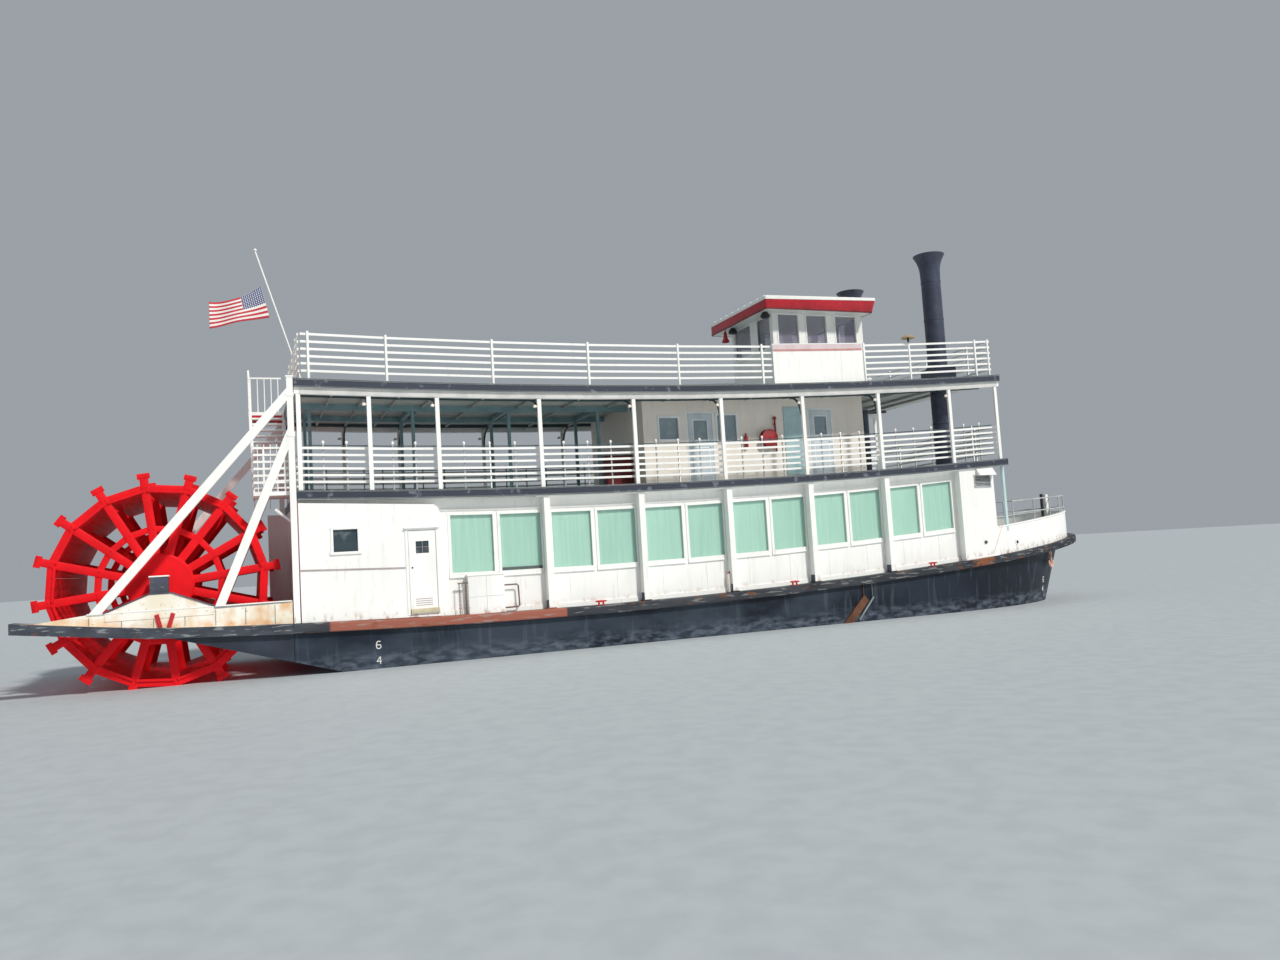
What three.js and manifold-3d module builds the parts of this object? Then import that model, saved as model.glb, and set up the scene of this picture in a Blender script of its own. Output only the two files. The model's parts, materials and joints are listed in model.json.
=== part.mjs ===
// A sternwheel excursion boat: flat-bottomed hull, enclosed saloon, open second deck,
// sun deck with pilothouse.
// Millimetres, X forward, Y to port, Z up. The origin is under the middle of the boat, on its flat bottom.
import * as THREE from "three";
import { mergeVertices } from "three/addons/utils/BufferGeometryUtils.js";
import { ConvexGeometry } from "three/addons/geometries/ConvexGeometry.js";
import Module from "manifold-3d";

const wasm = await Module();
wasm.setup();

// Driving dimensions
const END_X = 15850; // rub rail at the stem, and outrigger tips at the stern
const BAY = 2600; // spacing of the deck-edge columns
const COLUMN_1 = -10030; // aftmost column of the second deck
const COLUMN_2 = -8430;
const COLUMN_3 = -6800;
const COLUMN_10 = 10590; // foremost column
const RUB_HALF = 3300; // half beam over the rub rail
const EDGE_HALF = 3200; // outer faces of columns and engine room
const WALL_HALF = 2950; // outer face of the saloon walls
const DECK_HALF = 3250; // half width of the upper decks
const CABIN_HALF = 2150; // outer face of the upper cabin
const WALL = 60; // thickness of house walls
const GAP = 0.5; // between pieces that rest on each other
const HINGE_OUT = 12; // hinge pins stand this far outside the wall they hang on

// Sheer: every deck follows a flat parabola about one low point, in straight runs between knots
const KNOT = END_X / 6;
const chords = (curve) => (x) => {
  const from = Math.floor(x / KNOT) * KNOT;
  const share = (x - from) / KNOT;
  return curve(from) * (1 - share) + curve(from + KNOT) * share;
};
const SHEER_X = -3470;
const MAIN_LOW = 2120;
const SECOND_LOW = 5200;
const STOREY = 2630; // second deck top to sun deck top
const PLATE = 220; // depth of the dark deck edge
const RUB_DEPTH = 230;
const mainTop = chords((x) => MAIN_LOW + 2.9e-6 * (x - SHEER_X) ** 2);
const secondTop = chords((x) => SECOND_LOW + 2.2e-6 * (x - SHEER_X) ** 2);
const sunTop = (x) => secondTop(x) + STOREY;
const secondUnder = (x) => secondTop(x) - PLATE - GAP;
const sunUnder = (x) => sunTop(x) - PLATE - GAP;
const above = (line, height = GAP) => (x) => line(x) + height;

// Ends of the decks and houses
const STERN_X = -10300; // transom, and where the outriggers begin
const DECK_AFT = -10130;
const SECOND_FORE = 10800;
const SUN_FORE = 10750;
const ROOM_AFT = -10110; // engine room
const ROOM_FORE = -6860;
const ROOM_TOP = 4860; // at the fore end
const ROOM_RISE = 0.045; // per length, going aft
const SALOON_FORE = 10200;
const CABIN_AFT = -940;
const CABIN_FORE = 6330;

// Paddle wheel
const WHEEL_X = -13050;
const WHEEL_Z = 3320;
const ARMS = 16;
const ARM_STEP = (2 * Math.PI) / ARMS;
const ARM_PHASE = 0.1257; // the first arm stands 7.2 degrees above straight ahead
const TIP_R = 2560;
const RIM_R = 2300; // outer corners of the rims
const BOARD_R = 2110; // middle of the boards
const BOARD_HALF = 2500; // half length of the boards
const HUB_R = 460;
const SHAFT_R = 110;

// Outriggers that carry the wheel
const ARM_IN = 2720;
const BULWARK_Z = 2770;

const SIDES = [
  { side: "starboard", s: -1 },
  { side: "port", s: 1 },
];

// Materials
const paint = (color, roughness = 0.5, metalness = 0) =>
  new THREE.MeshStandardMaterial({ color, roughness, metalness });
const white = paint(0xf2f0ec);
const navy = paint(0x2d3746);
const rubGrey = paint(0x646468, 0.8);
const slate = paint(0x4b5060);
const mint = paint(0xb2e0cb);
const wheelRed = paint(0xe01020, 0.4);
const roofRed = paint(0xd7283c);
const doorBlue = paint(0xafc8dc);
const cream = paint(0xdcd2c8);
const stackBlack = paint(0x464b5f);
const glass = paint(0x9fb4bd, 0.1);
const steel = paint(0x6d737a, 0.5, 0.6);
const cloth = paint(0xc83c46, 0.9);

// Closed solids from three.js geometry
function solid(geometry) {
  const bare = geometry.clone();
  bare.deleteAttribute("normal");
  bare.deleteAttribute("uv");
  const merged = mergeVertices(bare, 1e-3);
  return new wasm.Manifold(
    new wasm.Mesh({
      numProp: 3,
      vertProperties: merged.attributes.position.array,
      triVerts: new Uint32Array(merged.index.array),
    }),
  );
}

const join = (pieces) => pieces.reduce((a, b) => a.add(b));
const cut = (body, holes) => holes.reduce((a, b) => a.subtract(b), body);

function box(x0, x1, y0, y1, z0, z1) {
  const g = new THREE.BoxGeometry(Math.abs(x1 - x0), Math.abs(y1 - y0), Math.abs(z1 - z0));
  g.translate((x0 + x1) / 2, (y0 + y1) / 2, (z0 + z1) / 2);
  return solid(g);
}

const outline = (points) => new THREE.Shape(points.map(([a, b]) => new THREE.Vector2(a, b)));

// A side-view outline of [x, z] points, as wide as y0 to y1
function sidePrism(points, y0, y1) {
  const g = new THREE.ExtrudeGeometry(outline(points), { depth: Math.abs(y1 - y0), bevelEnabled: false });
  g.rotateX(Math.PI / 2);
  g.translate(0, Math.max(y0, y1), 0);
  return solid(g);
}

// A plan outline of [x, y] points, from z0 up to z1
function planPrism(points, z0, z1) {
  const g = new THREE.ExtrudeGeometry(outline(points), { depth: z1 - z0, bevelEnabled: false });
  g.translate(0, 0, z0);
  return solid(g);
}

// A front-view outline of [y, z] points, from x0 to x1
function frontPrism(points, x0, x1) {
  const g = new THREE.ExtrudeGeometry(outline(points), { depth: x1 - x0, bevelEnabled: false });
  const along = new THREE.Matrix4().makeBasis(
    new THREE.Vector3(0, 1, 0),
    new THREE.Vector3(0, 0, 1),
    new THREE.Vector3(1, 0, 0),
  );
  g.applyMatrix4(along);
  g.translate(x0, 0, 0);
  return solid(g);
}

// A strip between two lines over x, as a deck or a rail that follows the sheer
function strip(x0, x1, y0, y1, low, high) {
  const knots = Array.from({ length: 13 }, (_, i) => (i - 6) * KNOT);
  const xs = [x0, ...knots.filter((x) => x > x0 + 1 && x < x1 - 1), x1];
  const under = xs.map((x) => [x, low(x)]);
  const over = xs.map((x) => [x, high(x)]).reverse();
  return sidePrism([...under, ...over], y0, y1);
}

// A bar of square or flat section from one point to another
function bar(from, to, width, depth) {
  const a = new THREE.Vector3(...from);
  const b = new THREE.Vector3(...to);
  const g = new THREE.BoxGeometry(width, depth, a.distanceTo(b));
  const way = b.clone().sub(a).normalize();
  g.applyQuaternion(new THREE.Quaternion().setFromUnitVectors(new THREE.Vector3(0, 0, 1), way));
  g.translate(...a.clone().add(b).multiplyScalar(0.5).toArray());
  return solid(g);
}

// A round bar from one point to another
function rod(from, to, radius, sides = 12) {
  const a = new THREE.Vector3(...from);
  const b = new THREE.Vector3(...to);
  const g = new THREE.CylinderGeometry(radius, radius, a.distanceTo(b), sides);
  const way = b.clone().sub(a).normalize();
  g.applyQuaternion(new THREE.Quaternion().setFromUnitVectors(new THREE.Vector3(0, 1, 0), way));
  g.translate(...a.clone().add(b).multiplyScalar(0.5).toArray());
  return solid(g);
}

// A pipe bent along points
function pipe(points, radius, sides = 8) {
  const path = new THREE.CatmullRomCurve3(points.map((p) => new THREE.Vector3(...p)));
  const round = new THREE.Shape();
  round.absarc(0, 0, radius, 0, 2 * Math.PI);
  const g = new THREE.ExtrudeGeometry(round, {
    steps: 2 * points.length,
    curveSegments: sides / 2,
    extrudePath: path,
  });
  return solid(g);
}

const boat = new THREE.Group();

function place(name, body, material, parent = boat) {
  const m = body.getMesh();
  const g = new THREE.BufferGeometry();
  g.setAttribute("position", new THREE.BufferAttribute(m.vertProperties, 3));
  g.setIndex(new THREE.BufferAttribute(m.triVerts, 1));
  g.computeVertexNormals();
  const mesh = new THREE.Mesh(g, material);
  mesh.name = name;
  parent.add(mesh);
  return mesh;
}

// Half width of a bow that rounds in from start to the stem as a quarter ellipse
const bowHalf = (x, start, stem, half) =>
  x <= start ? half : half * Math.sqrt(Math.max(0, 1 - ((x - start) / (stem - start)) ** 2));
const BOW_SHARES = [0, 0.2, 0.4, 0.6, 0.75, 0.87, 0.96, 0.995];

function bowPlan(aft, start, stem, half) {
  const curve = BOW_SHARES.map((t) => start + (stem - start) * t);
  const port = curve.map((x) => [x, bowHalf(x, start, stem, half)]);
  const starboard = port.map(([x, y]) => [x, -y]).reverse();
  return [[aft, -half], [aft, half], ...port, [stem, 0], ...starboard].reverse();
}

// Hull: levels from the floor up, each with its aft end, where the bow starts, its stem and its half width
const HULL_LEVELS = [
  { z: 0, aft: -5700, start: 6500, stem: 12200, half: 2850 },
  { z: 250, aft: -6530, start: 7000, stem: 12850, half: 3050 },
  { z: 1050, aft: -9200, start: 8000, stem: 14240, half: 3130 },
  { z: 3300, aft: STERN_X, start: 8500, stem: 15120, half: EDGE_HALF },
];
const RAKE_TOP = 1380; // where the stern rake meets the transom

function hullSolid() {
  const points = [];
  for (const { z, aft, start, stem, half } of HULL_LEVELS) {
    const line = [aft, ...BOW_SHARES.map((t) => start + (stem - start) * t)];
    for (const x of line)
      for (const s of [-1, 1]) points.push(new THREE.Vector3(x, s * bowHalf(x, start, stem, half), z));
    points.push(new THREE.Vector3(stem, 0, z));
  }
  for (const s of [-1, 1]) points.push(new THREE.Vector3(STERN_X, s * 3140, RAKE_TOP));
  const form = solid(new ConvexGeometry(points));
  const below = strip(STERN_X - 10, END_X, -4000, 4000, () => -10, above(mainTop, -RUB_DEPTH - GAP));
  const stocks = RUDDER_Y.map((y) => rod([RUDDER_X, y, 0], [RUDDER_X, y, STOCK_TOP + 60], STOCK_R + 8));
  return cut(form.intersect(below), stocks);
}

// Rudders
const RUDDER_X = -9300;
const RUDDER_Y = [-1400, 1400];
const STOCK_R = 50;
const STOCK_TOP = 1700;

place("hull", hullSolid(), navy);

const rubPlan = planPrism(bowPlan(STERN_X + GAP, 8600, END_X, RUB_HALF), 0, 4000);
const mainPlate = strip(STERN_X, END_X, -4000, 4000, above(mainTop, -RUB_DEPTH), mainTop);
place("main_deck", mainPlate.intersect(rubPlan), rubGrey);

RUDDER_Y.forEach((y, i) => {
  const group = new THREE.Group();
  group.position.set(RUDDER_X, y, 0);
  boat.add(group);
  const blade = planPrism(
    [[350, 0], [250, 45], [-400, 40], [-1050, 12], [-1050, -12], [-400, -40], [250, -45]],
    120,
    930,
  );
  place("rudder_" + SIDES[i].side, blade.add(rod([0, 0, 400], [0, 0, STOCK_TOP], STOCK_R)), steel, group);
});

// Outriggers: rub rail beam, raked arm under it, bulwark and bearing gable on it
const GABLE = [
  [-14100, BULWARK_Z],
  [-13230, 3120],
  [-12810, 3120],
  [-11950, BULWARK_Z],
];
const TIP_FROM = -13200; // aft of here the beam rises more than the sheer
const beamTop = (x) => mainTop(x) + 0.052 * Math.max(0, TIP_FROM - x);
for (const { side, s } of SIDES) {
  const beam = strip(-END_X, STERN_X - GAP, s * ARM_IN, s * RUB_HALF, above(beamTop, -RUB_DEPTH), beamTop);
  const arm = sidePrism(
    [[STERN_X - GAP, RAKE_TOP], [STERN_X - GAP, 2150], [-13300, 2250], [-12900, 2160]],
    s * (ARM_IN + 20),
    s * (EDGE_HALF - 30),
  );
  const bulwark = sidePrism(
    [[STERN_X - GAP, 2200], [STERN_X - GAP, BULWARK_Z], [-14450, BULWARK_Z], [-15450, 2650], [-15450, 2550]],
    s * (EDGE_HALF - 60),
    s * EDGE_HALF,
  );
  const gable = sidePrism([...GABLE, [-11950, 2300], [-14100, 2400]], s * 2760, s * 3080);
  const face = sidePrism([...GABLE, [-11950, 2600], [-14100, 2600]], s * 3070, s * (EDGE_HALF + 15));
  place("outrigger_" + side, join([beam, arm, bulwark, gable, face]), rubGrey);

  const housing = box(-13225, -12860, s * 2740, s * 3190, 3120 + GAP, 3500);
  const shaftHole = rod([WHEEL_X, s * 2700, WHEEL_Z], [WHEEL_X, s * 3150, WHEEL_Z], SHAFT_R + 10, 16);
  place("wheel_bearing_" + side, housing.subtract(shaftHole), slate);
}

// Paddle wheel: three frames of arms on one shaft, an outer and an inner rim,
// and a board across each space between arms
const FRAME_Y = [-2420, 0, 2420];

// A box along a radius, at an angle that rises from straight ahead
function spoke(fromR, toR, wide, y0, y1, angle) {
  const g = new THREE.BoxGeometry(toR - fromR, y1 - y0, wide);
  g.translate((fromR + toR) / 2, (y0 + y1) / 2, 0);
  g.rotateY(-angle);
  return solid(g);
}

// A flat ring with a corner at each arm
function rim(y, outer, inner, thickness) {
  const corners = Array.from({ length: ARMS }, (_, i) => ARM_PHASE + i * ARM_STEP);
  const shape = outline(corners.map((a) => [outer * Math.cos(a), outer * Math.sin(a)]));
  const hole = corners.map((a) => new THREE.Vector2(inner * Math.cos(a), inner * Math.sin(a))).reverse();
  shape.holes.push(new THREE.Path(hole));
  const g = new THREE.ExtrudeGeometry(shape, { depth: thickness, bevelEnabled: false });
  g.rotateX(Math.PI / 2);
  g.translate(0, y + thickness / 2, 0);
  return solid(g);
}

function wheelSolid() {
  const pieces = [rod([0, -3140, 0], [0, 3140, 0], SHAFT_R, 16)];
  for (const y of FRAME_Y) {
    const outside = y !== 0;
    pieces.push(rod([0, y - 130, 0], [0, y + 130, 0], HUB_R, 24), rim(y, 1350, 1210, 60));
    if (outside) pieces.push(rim(y, RIM_R, RIM_R - 150, 75));
    for (let i = 0; i < ARMS; i++) {
      const angle = ARM_PHASE + i * ARM_STEP;
      pieces.push(spoke(HUB_R - 30, TIP_R, 180, y - 45, y + 45, angle));
      if (outside) pieces.push(spoke(TIP_R - 130, TIP_R - 5, 260, y - 55, y + 55, angle));
    }
  }
  for (let i = 0; i < ARMS; i++) {
    const middle = ARM_PHASE + (i + 0.5) * ARM_STEP;
    pieces.push(spoke(BOARD_R - 25, BOARD_R + 25, 780, -BOARD_HALF, BOARD_HALF, middle));
  }
  return wasm.Manifold.union(pieces);
}
const wheel = new THREE.Group();
wheel.position.set(WHEEL_X, 0, WHEEL_Z);
boat.add(wheel);
place("paddle_wheel", wheelSolid(), wheelRed, wheel);

// King post with the two struts that hold up each outrigger
const TRUSS_Y = 3165;
for (const { side, s } of SIDES) {
  const y = s * TRUSS_Y;
  const post = box(-10280, -10140, y - 75, y + 75, mainTop(-10280) + GAP, 7950);
  const long = bar([-10200, y, 7640], [-14370, y, 2670], 190, 150);
  const short = bar([-10200, y, 6700], [-11860, y, 2680], 190, 150);
  const clear = box(-15000, STERN_X, s * 2800, s * 3400, 2000, BULWARK_Z + GAP);
  place("stern_truss_" + side, join([post, long, short]).subtract(clear), white);
}

// Engine room: walls flush with the deck edge, a ledge, and a set-back strip up to the second deck
const ROOM_DOOR = { aft: -7650, fore: -6990, low: 2230, high: 4250 };
const ROOM_WINDOW = { aft: -9360, fore: -8810, low: 3820, high: 4360 };
const ROOM_CORNER = 180;
const roomTop = (x) => ROOM_TOP + ROOM_RISE * (ROOM_FORE - x);
for (const { side, s } of SIDES) {
  const skin = sidePrism(
    [
      [ROOM_AFT, mainTop(ROOM_AFT) + GAP],
      [ROOM_FORE, mainTop(ROOM_FORE) + GAP + 8],
      [ROOM_FORE, ROOM_TOP - ROOM_CORNER],
      [ROOM_FORE - 50, ROOM_TOP - 50],
      [ROOM_FORE - ROOM_CORNER, roomTop(ROOM_FORE - ROOM_CORNER)],
      [ROOM_AFT, roomTop(ROOM_AFT)],
    ],
    s * (EDGE_HALF - WALL),
    s * EDGE_HALF,
  );
  const ledgeLow = above(roomTop, -WALL);
  const ledge = strip(
    ROOM_AFT, ROOM_FORE - 120, s * (WALL_HALF - WALL), s * (EDGE_HALF - 5), ledgeLow, roomTop);
  const upper = strip(ROOM_AFT, ROOM_FORE, s * (WALL_HALF - WALL), s * WALL_HALF, ledgeLow, secondUnder);
  const backAft = ROOM_FORE - WALL;
  const back = strip(
    backAft, ROOM_FORE, s * (WALL_HALF - WALL), s * (EDGE_HALF - 5), above(mainTop), () => ROOM_TOP - 180);
  const backTop = strip(
    ROOM_FORE - WALL, ROOM_FORE, s * (WALL_HALF - WALL), s * WALL_HALF, () => ROOM_TOP - 200, secondUnder);
  const slopeFoot = [ROOM_FORE - 10, s * 3010, ROOM_TOP - 200];
  const slope = bar(slopeFoot, [ROOM_FORE - 150, s * 3010, ROOM_TOP - 10], 20, 240);
  const door = box(ROOM_DOOR.aft, ROOM_DOOR.fore, s * 3000, s * 3300, ROOM_DOOR.low, ROOM_DOOR.high);
  const window = box(
    ROOM_WINDOW.aft, ROOM_WINDOW.fore, s * 3000, s * 3300, ROOM_WINDOW.low, ROOM_WINDOW.high);
  place(
    "engine_room_side_" + side,
    cut(join([skin, ledge, upper, back, backTop, slope]), [door, window]),
    white,
  );

  const leaf = new THREE.Group();
  leaf.position.set(ROOM_DOOR.aft + 8, s * (EDGE_HALF + HINGE_OUT), 0);
  boat.add(leaf);
  const width = ROOM_DOOR.fore - ROOM_DOOR.aft - 16;
  const panel = box(0, width, -s * 57, -s * 7, ROOM_DOOR.low + 8, ROOM_DOOR.high - 8);
  const pane = box(170, 480, -100, 100, 3700, 3990);
  place("engine_room_door_" + side, panel.subtract(pane), white, leaf);
}
const endWall = strip(
  ROOM_AFT, ROOM_AFT + WALL, -(WALL_HALF - WALL) + GAP, WALL_HALF - WALL - GAP, above(mainTop), secondUnder);
const endLowHalf = EDGE_HALF - WALL - GAP;
const endLowTop = roomTop(ROOM_AFT + WALL) - WALL - GAP;
const endLow = strip(
  ROOM_AFT, ROOM_AFT + WALL, -endLowHalf, endLowHalf, above(mainTop), () => endLowTop);
// Vent trunk behind the aft wall on the port side, let into the wall at its inner edge
const TRUNK = { aft: -10620, inside: 2600, outside: 3070 };
const trunk = strip(TRUNK.aft, ROOM_AFT - GAP, TRUNK.inside, TRUNK.outside, above(mainTop), secondUnder);
const trunkJoint = strip(
  ROOM_AFT - 20, ROOM_AFT + 10, TRUNK.inside, TRUNK.inside + 200, above(mainTop), secondUnder);
place("engine_room_aft_wall", join([endWall, endLow, trunk, trunkJoint]), white);
place("engine", box(-9700, -7900, -700, 700, 2260, 3450), steel);

// Saloon: a pair of windows in each bay between columns, shades close behind them
const WINDOW_BAYS = [0, 1, 2, 3, 4, 5].map((i) => COLUMN_3 + i * BAY);
const WINDOW_SPANS = [
  { from: 220, to: 1305 },
  { from: 1465, to: 2550 },
];
const CUPBOARD_AFT = 8910; // from here forward the side stands flush with the columns
const WINDOW_LOW = 1015; // from the main deck's top, whose sheer the windows follow
const WINDOW_HIGH = 2455;
for (const { side, s } of SIDES) {
  const wall = strip(
    ROOM_FORE + GAP, SALOON_FORE, s * (WALL_HALF - WALL), s * WALL_HALF, above(mainTop), secondUnder);
  const windowLow = above(mainTop, WINDOW_LOW);
  const windowHigh = above(mainTop, WINDOW_HIGH);
  const holes = WINDOW_BAYS.flatMap((x) =>
    WINDOW_SPANS.map(({ from, to }) => strip(x + from, x + to, s * 2800, s * 3000, windowLow, windowHigh)),
  );
  const cupboard = strip(
    CUPBOARD_AFT, SALOON_FORE, s * (WALL_HALF - WALL), s * EDGE_HALF, above(mainTop), secondUnder);
  place("saloon_side_" + side, cut(wall, holes).add(cupboard), white);
  const inner = s * (WALL_HALF - WALL - GAP);
  const shadeLow = above(mainTop, WINDOW_LOW - 80);
  const shadeHigh = above(mainTop, WINDOW_HIGH + 80);
  place(
    "window_shade_" + side,
    strip(-6750, 8850, inner - s * 20, inner, shadeLow, shadeHigh),
    mint,
  );
}
const FRONT_DOOR_HALF = 850;
const FRONT_DOOR_LOW = mainTop(SALOON_FORE) + 120;
const FRONT_DOOR_HIGH = FRONT_DOOR_LOW + 2000;
const frontHalf = WALL_HALF - WALL - GAP;
const frontWall = strip(
  SALOON_FORE - WALL, SALOON_FORE, -frontHalf, frontHalf, above(mainTop), secondUnder);
const frontHole = box(
  SALOON_FORE - 200, SALOON_FORE + 200, -FRONT_DOOR_HALF, FRONT_DOOR_HALF, FRONT_DOOR_LOW, FRONT_DOOR_HIGH);
place("saloon_front_wall", frontWall.subtract(frontHole), white);
for (const { side, s } of SIDES) {
  const leaf = new THREE.Group();
  leaf.position.set(SALOON_FORE + HINGE_OUT, s * (FRONT_DOOR_HALF - 8), 0);
  boat.add(leaf);
  const panel = box(-57, -7, 0, -s * (FRONT_DOOR_HALF - 12), FRONT_DOOR_LOW + 8, FRONT_DOOR_HIGH - 8);
  const pane = box(-100, 100, -s * 180, -s * 660, FRONT_DOOR_LOW + 950, FRONT_DOOR_LOW + 1800);
  place("saloon_door_" + side, panel.subtract(pane), doorBlue, leaf);
}

// Columns under the second deck, on a plate that joins their heads
const LOWER_COLUMNS = [1, 2, 3, 4, 5].map((i) => COLUMN_3 + i * BAY);
for (const { side, s } of SIDES) {
  const heads = strip(
    -4400, CUPBOARD_AFT - GAP, s * (WALL_HALF + GAP), s * 3190, above(secondUnder, -25), secondUnder);
  const columns = LOWER_COLUMNS.map((x) =>
    strip(x - 20, x + 140, s * (WALL_HALF + GAP), s * EDGE_HALF, above(mainTop), above(secondUnder, -10)),
  );
  place("lower_columns_" + side, join([heads, ...columns]), white);
}

// Second deck and sun deck
place(
  "second_deck",
  strip(DECK_AFT, SECOND_FORE, -DECK_HALF, DECK_HALF, above(secondTop, -PLATE), secondTop),
  slate,
);

// Twin stacks stand on the second deck and pass through the sun deck
const STACK_X = 9270;
const STACK_Y = 2200;
const STACK_R = 300;
const STACK_TOP = 12300;
const sunPlate = strip(DECK_AFT, SUN_FORE, -DECK_HALF, DECK_HALF, above(sunTop, -PLATE), sunTop);
const stackHoles = SIDES.map(({ s }) =>
  rod([STACK_X, s * STACK_Y, 7000], [STACK_X, s * STACK_Y, 9000], STACK_R + 12, 24),
);
place("sun_deck", cut(sunPlate, stackHoles), slate);
for (const { side, s } of SIDES) {
  const deck = secondTop(STACK_X + 400) + GAP;
  const profile = [
    [0, deck],
    [STACK_R, deck],
    [STACK_R, STACK_TOP - 900],
    [STACK_R + 50, STACK_TOP - 880],
    [STACK_R + 50, STACK_TOP - 800],
    [STACK_R, STACK_TOP - 780],
    [STACK_R + 20, STACK_TOP - 400],
    [STACK_R + 190, STACK_TOP],
    [STACK_R + 130, STACK_TOP],
    [STACK_R - 60, STACK_TOP - 400],
    [STACK_R - 60, STACK_TOP - 700],
    [0, STACK_TOP - 700],
  ].map(([r, z]) => new THREE.Vector2(r, z));
  const g = new THREE.LatheGeometry(profile, 16);
  g.rotateX(Math.PI / 2);
  g.translate(STACK_X, s * STACK_Y, 0);
  const [collarIn, collarOut] = [s * (STACK_Y - 380), s * (STACK_Y + 380)];
  const collar = strip(STACK_X - 380, STACK_X + 380, collarIn, collarOut, above(sunTop), above(sunTop, 450));
  place("stack_" + side, solid(g).add(collar), stackBlack);
}

// Columns and head beam of the second deck
const COLUMN_ROW = [0, 1, 2, 3, 4, 5, 6].map((i) => COLUMN_3 + i * BAY);
const UPPER_COLUMNS = [COLUMN_1, COLUMN_2, ...COLUMN_ROW, COLUMN_10];
for (const { side, s } of SIDES) {
  const header = strip(
    DECK_AFT + 10, SUN_FORE - 20, s * 3060, s * EDGE_HALF, above(sunUnder, -140), sunUnder);
  const columns = UPPER_COLUMNS.map((x) =>
    strip(x - 50, x + 50, s * 3120, s * 3190, above(secondTop), above(sunUnder, -60)),
  );
  place("upper_columns_" + side, join([header, ...columns]), white);
}

// Rails: six flat bars on stanchions
const SECOND_RAILS = [240, 400, 560, 720, 880, 1040];
const SUN_RAILS = [230, 405, 580, 755, 930, 1110];
const RAIL_DEPTH = 55;
function sideRail(s, x0, x1, y, line, heights, posts, postTop, postSide, postWidth) {
  const bars = heights.map((h) =>
    strip(x0, x1, s * y, s * (y + 35), above(line, h - RAIL_DEPTH), above(line, h)),
  );
  const standY = y + 30 * postSide;
  const half = postWidth / 2;
  const stands = posts.map((x) =>
    strip(x - half, x + half, s * (standY - 5), s * (standY + 40), above(line), above(line, postTop)),
  );
  return join([...bars, ...stands]);
}
function endRail(x, y0, y1, line, heights, posts, postTop) {
  const z = line(x);
  const bars = heights.map((h) => box(x - 17, x + 18, y0, y1, z + h - RAIL_DEPTH, z + h));
  const base = z + GAP + 3;
  const stands = posts.map((y) => box(x - 28, x + 22, y - 25, y + 25, base, z + postTop));
  return join([...bars, ...stands]);
}
const between = (a, b, count) => Array.from({ length: count }, (_, i) => a + ((b - a) * (i + 0.5)) / count);
const bayMiddles = UPPER_COLUMNS.slice(1).map((x, i) => (x + UPPER_COLUMNS[i]) / 2);
const stanchionXs = bayMiddles.filter((x, i) => i > 0 && i % 2 === 0);
const SUN_POSTS = [-9770, -7970, -5350, -2790, 2410, 5850, 9970];
const PANEL = { aft: 2740, fore: 5750 };
for (const { side, s } of SIDES) {
  place(
    "second_rail_" + side,
    sideRail(s, -9990, 10680, 3010, secondTop, SECOND_RAILS, stanchionXs, 1110, -1, 34),
    white,
  );
  const panel = strip(PANEL.aft, PANEL.fore, s * 3150, s * 3185, above(sunTop), above(sunTop, 1130));
  const cleats = [PANEL.aft + 200, PANEL.fore - 200].map((x) =>
    box(x - 30, x + 30, s * 3110, s * 3160, sunTop(x) + 700, sunTop(x) + 760),
  );
  const rails = sideRail(s, -9940, 10560, 3090, sunTop, SUN_RAILS, SUN_POSTS, 1150, 1, 50);
  place("sun_rail_" + side, join([rails, panel, ...cleats]), white);
}
const bowRail = endRail(10700, -2960, 2960, secondTop, SECOND_RAILS, between(-2960, 2960, 3), 1110);
const sternRail = endRail(-10030, -1850, 2960, secondTop, SECOND_RAILS, between(-1850, 2960, 3), 1110);
place("second_rail_bow", bowRail, white);
place("second_rail_stern", sternRail, white);
place("sun_rail_bow", endRail(10600, -3060, 3060, sunTop, SUN_RAILS, between(-3060, 3060, 3), 1150), white);
place("sun_rail_stern", endRail(-9990, -3060, 1850, sunTop, SUN_RAILS, between(-3060, 1850, 3), 1150), white);

// Upper cabin
const CABIN_DOORS = [
  { name: "aft", aft: 430, fore: 1190 },
  { name: "fore", aft: 4420, fore: 5170 },
];
const CABIN_DOOR_HIGH = 2000;
const CABIN_WINDOWS = [
  { aft: -450, fore: 120, low: 1290, high: 1890 },
  { aft: 1360, fore: 1960, low: 1200, high: 1930 },
];
for (const { side, s } of SIDES) {
  const wall = strip(
    CABIN_AFT, CABIN_FORE, s * (CABIN_HALF - WALL), s * CABIN_HALF, above(secondTop), sunUnder);
  const doors = CABIN_DOORS.map(({ aft, fore }) => {
    const z = secondTop(aft);
    return box(aft, fore, s * 2000, s * 2300, z + 60, z + CABIN_DOOR_HIGH);
  });
  const windows = CABIN_WINDOWS.map(({ aft, fore, low, high }) => {
    const z = secondTop(aft);
    return box(aft, fore, s * 2000, s * 2300, z + low, z + high);
  });
  place("upper_cabin_side_" + side, cut(wall, [...doors, ...windows]), cream);

  for (const { name, aft, fore } of CABIN_DOORS) {
    const z = secondTop(aft);
    const leaf = new THREE.Group();
    leaf.position.set(aft + 8, s * (CABIN_HALF + HINGE_OUT), z);
    boat.add(leaf);
    const width = fore - aft - 16;
    const panel = box(0, width, -s * 52, -s * 7, 68, CABIN_DOOR_HIGH - 8);
    const pane = box(160, width - 160, -100, 100, 1250, 1800);
    place("upper_cabin_door_" + name + "_" + side, panel.subtract(pane), doorBlue, leaf);
  }
}
const acrossHalf = CABIN_HALF - WALL - GAP;
for (const [name, x] of [["aft", CABIN_AFT], ["fore", CABIN_FORE - WALL]]) {
  const wall = strip(x, x + WALL, -acrossHalf, acrossHalf, above(secondTop), sunUnder);
  place("upper_cabin_" + name + "_wall", wall, cream);
}

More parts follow.
